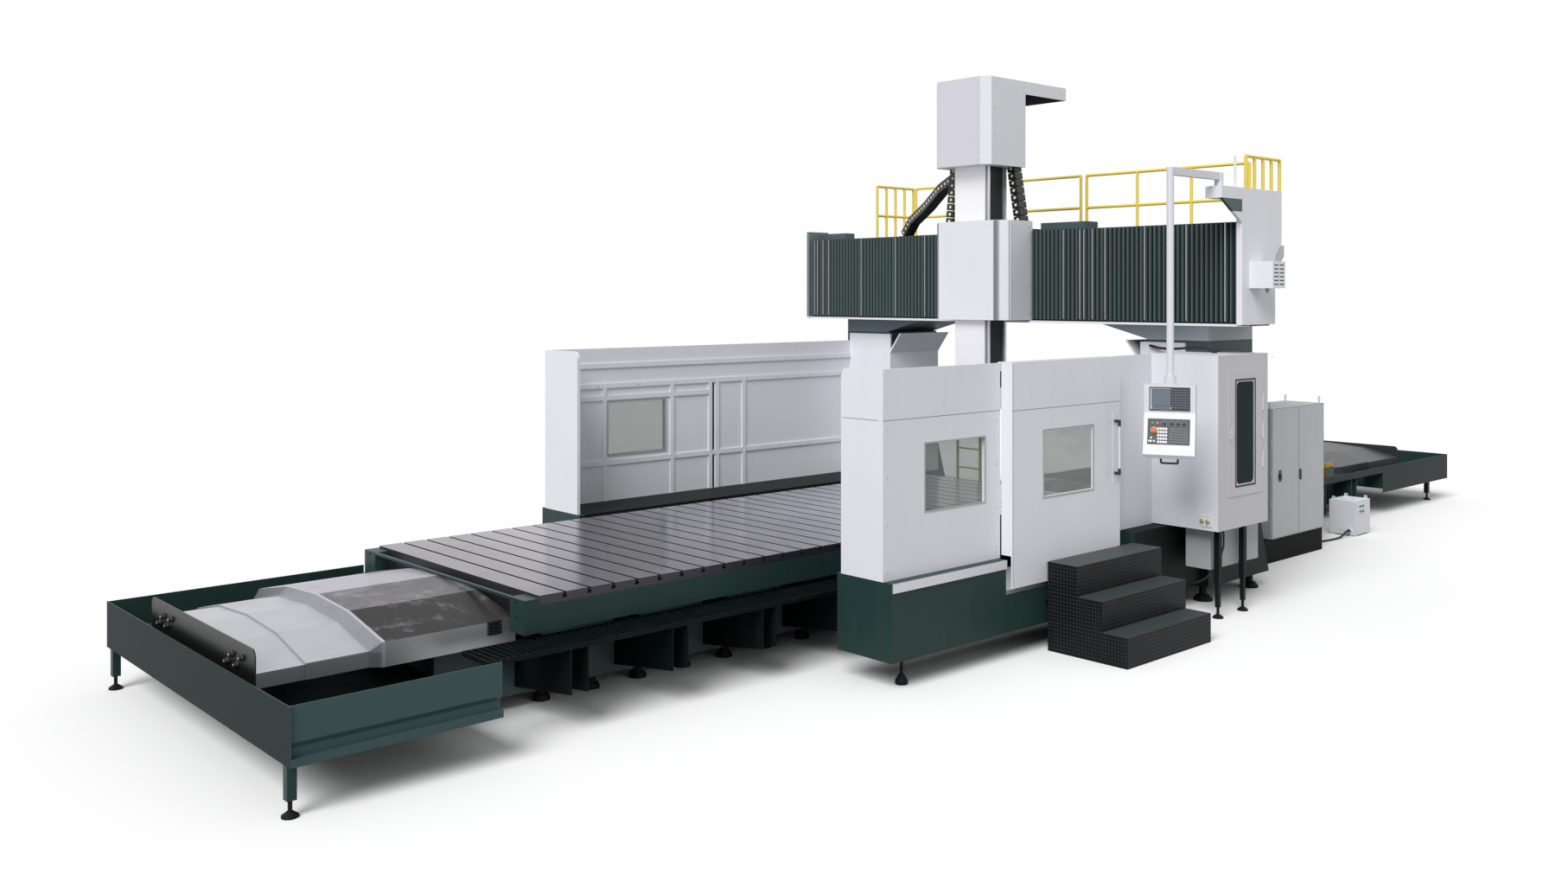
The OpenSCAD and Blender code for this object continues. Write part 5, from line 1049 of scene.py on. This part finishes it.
class MACHINE_OT_pendant(MachineOperator, bpy.types.Operator):
    """Screen, keys and collars of the control pendant"""

    bl_idname = "machine.pendant"
    bl_label = "Pendant fittings"

    foil = 0.0003
    knobs = (0.054, -0.022, -0.086, -0.146)
    dial = 0.026

    def execute(self, context):
        panel = Matrix.Translation(PANEL_ORIGIN) @ Matrix.Rotation(PANEL_TURN, 4, "Z")
        self.screen(panel, PANEL_FACE - 0.008)
        slope = Matrix.Rotation(KEY_TILT - math.pi / 2, 4, "Y")
        self.key_field(panel @ Matrix.Translation((PANEL_FACE, 0, PANEL_WAIST)) @ slope)
        neck = Shape().lathe([(0.06, 0), (0.06, 0.012), (0.046, 0.022), (0.0385, 0.055)], 28)
        neck.turned(Matrix.Translation((PANEL_ORIGIN.x, PANEL_ORIGIN.y, PANEL_TOP + 0.002)))
        neck.make("pendant_neck_collar", "pendant_panel", "pendant_paint", "white_paint", True)
        return DONE

    def screen(self, panel, face):
        shape = Shape().block((face - 0.003, -0.012, 2.432), (face, 0.178, 2.604), 0.001)
        shape.block((face - 0.0015, -0.01, 2.4), (face, 0.18, 2.424), 0.0005)
        shape.turned(panel).make("pendant_display", "pendant_panel", "screen", "dark_window")
        shape = Shape().frame((face - 0.006, -0.206, 2.387), (face + 0.008, 0.206, 2.628), 0, 0.01)
        shape.frame((face - 0.005, -0.016, 2.428), (face, 0.182, 2.608), 0, 0.004)
        shape.block((face - 0.001, -0.197, 2.396), (face + 0.001, -0.017, 2.619))
        shape.turned(panel).make("pendant_bezel", "pendant_panel", "key_field", "pendant_grey")
        outward = panel.to_quaternion() @ Matrix.Rotation(-math.pi / 2, 4, "Y").to_quaternion()
        places = grid(face, spaced(-0.182, -0.036, 7), spaced(2.415, 2.6, 8))
        self.keys("pendant_screen_keys", (0.0065, 0.0075, 0.004), 0.001, panel, places, outward)
        places = grid(face - 0.0015, spaced(0.005, 0.165, 9), 2.412)
        self.keys("pendant_soft_keys", (0.006, 0.006, 0.003), 0.001, panel, places, outward)

    def key_field(self, slope):
        shape = Shape().block((-0.335, -0.205, 0), (-0.07, 0.215, 0.00025))
        shape.frame((-0.339, -0.209, 0), (-0.066, 0.219, 0.003), 2, 0.004)
        shape.turned(slope).make("pendant_key_foil", "pendant_panel", "key_field", "pendant_grey")
        turn = slope.to_quaternion()
        places = grid(spaced(-0.172, -0.31, 6), spaced(-0.178, -0.012, 8), self.foil)
        self.keys("pendant_keys", (0.008, 0.0075, 0.004), 0.0012, slope, places, turn)
        places = grid(spaced(-0.172, -0.312, 5), spaced(0.03, 0.108, 4), self.foil)
        self.keys("pendant_pale_keys", (0.012, 0.011, 0.004), 0.0012, slope, places, turn,
                  "white_paint")
        places = grid(-0.305, (0.15, 0.18, 0.2), self.foil) + [(-0.27, 0.18, self.foil)]
        self.keys("pendant_mode_keys", (0.01, 0.009, 0.005), 0.0012, slope, places, turn,
                  "white_paint")
        collar = Shape().lathe([(0.036, 0.0002), (0.036, 0.009), (0.031, 0.0118), (0.0165, 0.0118),
                                (0.0165, 0.0002)], 32)
        collar.turned(slope @ Matrix.Translation((-0.19, 0.152, 0)))
        collar.make("emergency_stop_collar", "pendant_panel", "yellow_plastic", "yellow_plastic",
                    True)
        angles = [math.radians(degrees) for degrees in range(-120, 121, 40)]
        places = [(-0.112 + self.dial * math.cos(a), u + self.dial * math.sin(a), self.foil)
                  for u, a in grid(self.knobs, angles)]
        self.keys("pendant_knob_marks", (0.002, 0.0015, 0.0004), 0, slope, places, turn,
                  "white_paint")

    def keys(self, name, size, bevel, plane, places, turn, material="key_caps"):
        u, v, height = size
        key = Shape().block((-u, -v, 0), (u, v, height), bevel)
        points = [plane @ Vector(place) for place in places]
        repeat(name, key, points, turn.to_euler(), "pendant_panel", material)


class MACHINE_OT_guards(MachineOperator, bpy.types.Operator):
    """Window gaskets, seams, left joint and screws of the side guards"""

    bl_idname = "machine.guards"
    bl_label = "Guard fittings"

    right_window = (-4.42, 1.565, -3.53, 2.215)
    left_window = (-4.08, 1.575, -3.19, 2.225)
    right_face, left_face, door_face = -2.76, 2.89, -2.9
    seam_z = (2.45, 2.455)
    seam_y = (-0.0012, 0.001)

    def execute(self, context):
        right, left, door = self.right_face, self.left_face, self.door_face
        width = details().gasket
        gaskets = Shape()
        self.gasket(gaskets, self.right_window, 0.004, right - 0.005, right + 0.002, width)
        self.gasket(gaskets, self.left_window, 0.024, left - 0.0115, left - 0.006, 1.5 * width)
        gaskets.make("guard_window_gaskets", "frame", "grey_gasket", "grey_paint")
        gasket, pane = Shape(), (PANE_LO.x, PANE_LO.z, PANE_HI.x, PANE_HI.z)
        self.gasket(gasket, pane, 0.004, door - 0.005, door + 0.002, width)
        gasket.make("guard_door_gasket", "guard_door", "grey_gasket", "grey_paint")

        z0, z1 = self.seam_z
        out, sunk = self.seam_y
        seams = Shape().block((-4.98, right + out, z0), (-3.3, right + sunk, z1))
        seams.block((-4.9812, -2.7, z0), (-4.979, -2.24, z1))
        seams.make("guard_seams", "frame", "sheet_seam", "grey_paint")
        joint = Shape().block((-2.38, left - 0.0015, 0.995), (-2.35, left + 0.001, 2.43))
        joint.block((-2.372, left - 0.004, 1.02), (-2.358, left, 2.42), 0.001)
        joint.make("left_guard_joint", "frame", "key_field", "grey_paint")
        x0, x1 = DOOR_LO.x, DOOR_HI.x
        seams = Shape().block((x0 + 0.002, door + out, z0), (x1 - 0.002, door + sunk, z1))
        seams.block((x0 + 0.012, door + out, 0.72), (x0 + 0.015, door + sunk, 2.92))
        seams.make("guard_door_seams", "guard_door", "sheet_seam", "grey_paint")

        heights = spaced(1.06, 2.36, 4)
        screws("guard_panel_screws", grid((-4.93, -3.36), right, heights), RIGHT, "frame")
        points = grid(spaced(-4.9, -3.42, 6), -2.8802, 0.947)
        screws("rail_strip_screws", points, RIGHT, "frame")
        points = grid(spaced(-4.85, 0.05, 9), left - 0.018, (1.47, 2.445))
        screws("left_guard_screws", points, RIGHT, "frame")
        return DONE

    def gasket(self, shape, window, lap, y0, y1, width):
        x0, z0, x1, z1 = window
        shape.frame((x0 - lap, y0, z0 - lap), (x1 + lap, y1, z1 + lap), 1, width)


class MACHINE_OT_magazine(MachineOperator, bpy.types.Operator):
    """Gasket, latch, hinges, fittings and hoses of the tool magazine"""

    bl_idname = "machine.magazine"
    bl_label = "Magazine fittings"

    hinge_axis = (0.503, -3.5103)
    hinges_z = (1.68, 2.005, 2.33)
    nozzles = ((-3.385, 1.105), (-3.315, 1.105))
    hose = [(-0.04, -3.32, 1), (-0.05, -3.34, 0.9), (-0.09, -3.36, 0.78), (-0.14, -3.345, 0.64),
            (-0.19, -3.3, 0.52), (-0.23, -3.22, 0.42), (-0.25, -3.12, 0.36), (-0.25, -3.02, 0.34)]
    conduit = [(0.22, -2.22, 2.99), (0.19, -2.36, 2.965), (0.16, -2.52, 2.958),
               (0.14, -2.68, 2.968), (0.13, -2.84, 2.985), (0.13, -3, 2.985), (0.13, -3.08, 2.96),
               (0.13, -3.12, 2.93)]

    def execute(self, context):
        lo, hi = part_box("magazine_door_glass")
        face, left, wall = MAG_FACE, MAG_DOOR_LO.x, MAG_LO.y
        gasket = Shape().frame((lo.x - 0.012, face - 0.004, lo.z - 0.012),
                               (hi.x + 0.012, face + 0.002, hi.z + 0.012), 1, 0.018)
        gasket.make("magazine_door_gasket", "magazine_door", "black_rubber", "black_plastic")
        latch = Shape().block((left + 0.035, face - 0.012, 1.98), (left + 0.06, face, 2.12), 0.003)
        latch.block((left + 0.038, face - 0.02, 2.03), (left + 0.057, face - 0.01, 2.07), 0.003)
        latch.make("magazine_door_latch", "magazine_door", "bright_steel", "ground_steel")
        hinges = Shape()
        for z in self.hinges_z:
            for low in (z - 0.046, z + 0.091):
                hinges.rod((*self.hinge_axis, low), (*self.hinge_axis, low + 0.045), 0.0095, 14)
            for low in (z - 0.046, z + 0.092):
                hinges.block((0.51, wall - 0.004, low), (0.55, wall, low + 0.044), 0.001)
        hinges.make("magazine_door_hinges", "frame", "bright_steel", "ground_steel")
        plate = Shape().block((-0.456, -3.42, 1.05), (-0.45, -3.28, 1.16), 0.002)
        plate.frame((-0.46, -3.425, 1.045), (-0.452, -3.275, 1.165), 0, 0.008)
        plate.make("magazine_air_plate", "frame", "white_paint", "white_paint")
        nozzles = Shape()
        for place in self.nozzles:
            nozzles.rod((-0.455, *place), (-0.476, *place), 0.022, 16)
            nozzles.rod((-0.475, *place), (-0.496, *place), 0.015, 6)
        nozzles.make("magazine_air_fittings", "frame", "pale_brass", "disc_steel")
        hose = Shape().tube(self.hose, 0.011)
        hose.make("magazine_hose", "frame", "black_rubber", "cable", True)
        conduit = Shape().tube(self.conduit, 0.016)
        conduit.rod((0.13, -3.12, 2.931), (0.13, -3.12, 2.955), 0.03, 18)
        conduit.make("magazine_conduit", "frame", "black_rubber", "cable", True)
        points = grid(spaced(MAG_LO.x + 0.04, MAG_HI.x - 0.04, 4), wall, (1.04, 2.88))
        screws("magazine_screws", points, RIGHT, "frame")
        return DONE


class MACHINE_OT_cabinet(MachineOperator, bpy.types.Operator):
    """Seams, switch plate and louvres of the electrical cabinet, and the transformer's lamps"""

    bl_idname = "machine.cabinet"
    bl_label = "Cabinet fittings"

    edge = 0.006
    louvres = ((-2.1, -1.85), spaced(0.55, 0.95, 9))
    lamps_x, lamps_z = (5.98, 6.06), (0.36, 0.44)
    box_screws_x, box_screws_z = (5.84, 6.28), (0.07, 0.47)

    def execute(self, context):
        face, low, high = LEAF_LO.y, LEAF_LO.z + self.edge, LEAF_HI.z - self.edge
        for name, (x0, x1) in LEAF_EDGES.items():
            seam = Shape().frame((x0 + self.edge, face - 0.0012, low),
                                 (x1 - self.edge, face + 0.001, high), 1, 0.004)
            seam.make(f"cabinet_door_{name}_seam", f"cabinet_door_{name}", "sheet_seam",
                      "grey_paint")
        plate = Shape().block((3.225, face - 0.002, 1.075), (3.315, face, 1.23), 0.0008)
        plate.make("main_switch_plate", "cabinet_door_left", "black_plastic", "black_plastic")
        points = grid(CABINET_LO.x - 0.0005, *self.louvres)
        fin = Shape().block((-0.01, -0.1, 0), (0.01, 0.1, 0.008), 0.003)
        repeat("cabinet_louvres", fin, points, facing(FRONT), "frame", "grey_paint")
        points = grid(self.lamps_x, TRAFO_LO.y, self.lamps_z)
        lamp = Shape().lathe([(0.016, 0), (0.016, 0.006), (0.012, 0.007), (0.012, 0.014),
                              (0.007, 0.019)], 18)
        repeat("transformer_lamps", lamp, points, facing(RIGHT), "frame", "start_button")
        points = grid(self.box_screws_x, TRAFO_LO.y, self.box_screws_z)
        screws("transformer_screws", points, RIGHT, "frame")
        return DONE


class MACHINE_OT_covers(MachineOperator, bpy.types.Operator):
    """Buffers, guide blocks and screws of the telescopic covers and the table"""

    bl_idname = "machine.covers"
    bl_label = "Cover fittings"

    ends = (("front", -10.04, -1), ("rear", 9.54, 1))
    buffer_rows = (-0.8, 0.8)
    buffer_places = ((-0.15, 0.87), (-0.05, 0.8), (0.05, 0.86), (0.15, 0.79))
    buffer_height = 0.035
    guides_x = (-8.16, 0.43)
    hood_screws = ((-1.39, 1.39), (0.92, 1.04))
    skirt_screws = 17
    skirt_screw_z = 0.955

    def execute(self, context):
        height = self.buffer_height
        for name, x, out in self.ends:
            places = [(middle + y, z) for middle in self.buffer_rows for y, z in self.buffer_places]
            buffer = Shape().lathe([(0.026, 0), (0.026, 0.01), (0.02, 0.018), (0.02, 0.03),
                                    (0.014, height)], 18)
            repeat(f"{name}_end_buffers", buffer, [(x, *place) for place in places],
                   facing((out, 0, 0)), "frame", "black_rubber")
            screws(f"{name}_end_screws", [(x + out * height, *place) for place in places],
                   (out, 0, 0), "frame", "bright_steel", 0.009)
        guides = Shape()
        for x, side in grid(self.guides_x, (-1, 1)):
            y0, y1 = sorted((side * 1.271, side * 1.29))
            for z in spaced(0.775, 0.865, 4):
                guides.block((x, y0, z), (x + 0.13, y1, z + 0.022), 0.003)
            y0, y1 = sorted((side * 1.2705, side * 1.284))
            guides.block((x + 0.02, y0, 0.77), (x + 0.11, y1, 0.881), 0.003)
        guides.make("cover_guide_blocks", "table", "black_paint", "black_plastic")
        for name, x, direction in (("front", SKIRT_LO.x, FRONT), ("rear", SKIRT_HI.x, REAR)):
            points = grid(x, *self.hood_screws)
            screws(f"{name}_hood_screws", points, direction, "table", "black_paint",
                   0.011)
        places = spaced(TABLE_LO.x + 0.2, TABLE_HI.x - 0.2, self.skirt_screws)
        for name, y, direction in (("right", -SKIRT_HI.y, RIGHT), ("left", SKIRT_HI.y, LEFT)):
            points = grid(places, y, self.skirt_screw_z)
            screws(f"table_skirt_screws_{name}", points, direction, "table", "green_paint")
        return DONE


class MACHINE_OT_head(MachineOperator, bpy.types.Operator):
    """Seams and screws of the saddle and head covers, and the vented box's gland"""

    bl_idname = "machine.head"
    bl_label = "Head fittings"

    corner = (-0.55, 0.455)
    gland = (0.27, -3.69)
    strips = ((0.004, 0.058, 0.0015), (0.066, 0.072, 0.003), (0.196, 0.204, 0.003))

    def execute(self, context):
        z0, z1 = SADDLE_LO.z + 0.004, SADDLE_HI.z - 0.004
        strips = Shape()
        for side in (-1, 1):
            place = Matrix.Translation((self.corner[0], side * self.corner[1], 0))
            turn = place @ Matrix.Rotation(side * math.radians(45), 4, "Z")
            for u0, u1, out in self.strips:
                v0, v1 = sorted((side * out, -side * 0.001))
                strips.block((u0, v0, z0), (u1, v1, z1), turn=turn)
        strips.make("saddle_corner_strips", "saddle", "sheet_seam", "white_paint")
        gland = Shape().rod((*self.gland, 3.6698), (*self.gland, 3.645), 0.026, 6)
        gland.rod((*self.gland, 3.646), (*self.gland, 3.615), 0.017, 18, 0.012)
        gland.make("vent_box_gland", "frame", "grey_gasket", "black_plastic")
        corners = grid(SADDLE_LO.x, (-0.4, 0.4), (3.33, 4.48))
        middle = grid(SADDLE_LO.x, (-0.13, 0.13), 3.33)
        screws("saddle_cover_screws", corners + middle, FRONT, "saddle")
        points = grid((-0.36, -0.02), SADDLE_LO.y, spaced(3.36, 4.46, 4))
        screws("saddle_cover_side_screws", points, RIGHT, "saddle")
        heights = spaced(5.3, 6.28, 4)
        screws("head_cover_screws", grid(HEAD_LO.x, (-0.31, 0.31), heights), FRONT, "ram")
        screws("head_cover_side_screws", grid((-0.53, 0.06), HEAD_LO.y, heights), RIGHT, "ram")
        return DONE


OPERATORS = (MACHINE_OT_stage, MACHINE_OT_cable, MACHINE_OT_finishes, MACHINE_OT_bellows,
             MACHINE_OT_chains, MACHINE_OT_pendant, MACHINE_OT_guards, MACHINE_OT_magazine,
             MACHINE_OT_cabinet, MACHINE_OT_covers, MACHINE_OT_head)


class MACHINE_PT_panel(bpy.types.Panel):
    """Lists the machine's operators"""

    bl_idname = "MACHINE_PT_panel"
    bl_label = "Bridge Machining Centre"
    bl_space_type = "VIEW_3D"
    bl_region_type = "UI"
    bl_category = "Machine"

    def draw(self, context):
        for operator in OPERATORS:
            self.layout.operator(operator.bl_idname)


SETTINGS = {"machine_finishes": MachineFinishes, "machine_details": MachineDetails,
            "machine_stage": MachineStage}
CLASSES = (*SETTINGS.values(), *OPERATORS, MACHINE_PT_panel)


def register():
    for cls in CLASSES:
        bpy.utils.register_class(cls)
    for name, settings in SETTINGS.items():
        setattr(bpy.types.Scene, name, PointerProperty(type=settings))


def unregister():
    for name in SETTINGS:
        delattr(bpy.types.Scene, name)
    for cls in reversed(CLASSES):
        bpy.utils.unregister_class(cls)


def main():
    register()
    for operator in OPERATORS:
        group, name = operator.bl_idname.split(".")
        getattr(getattr(bpy.ops, group), name)()


if __name__ == "__main__":
    main()
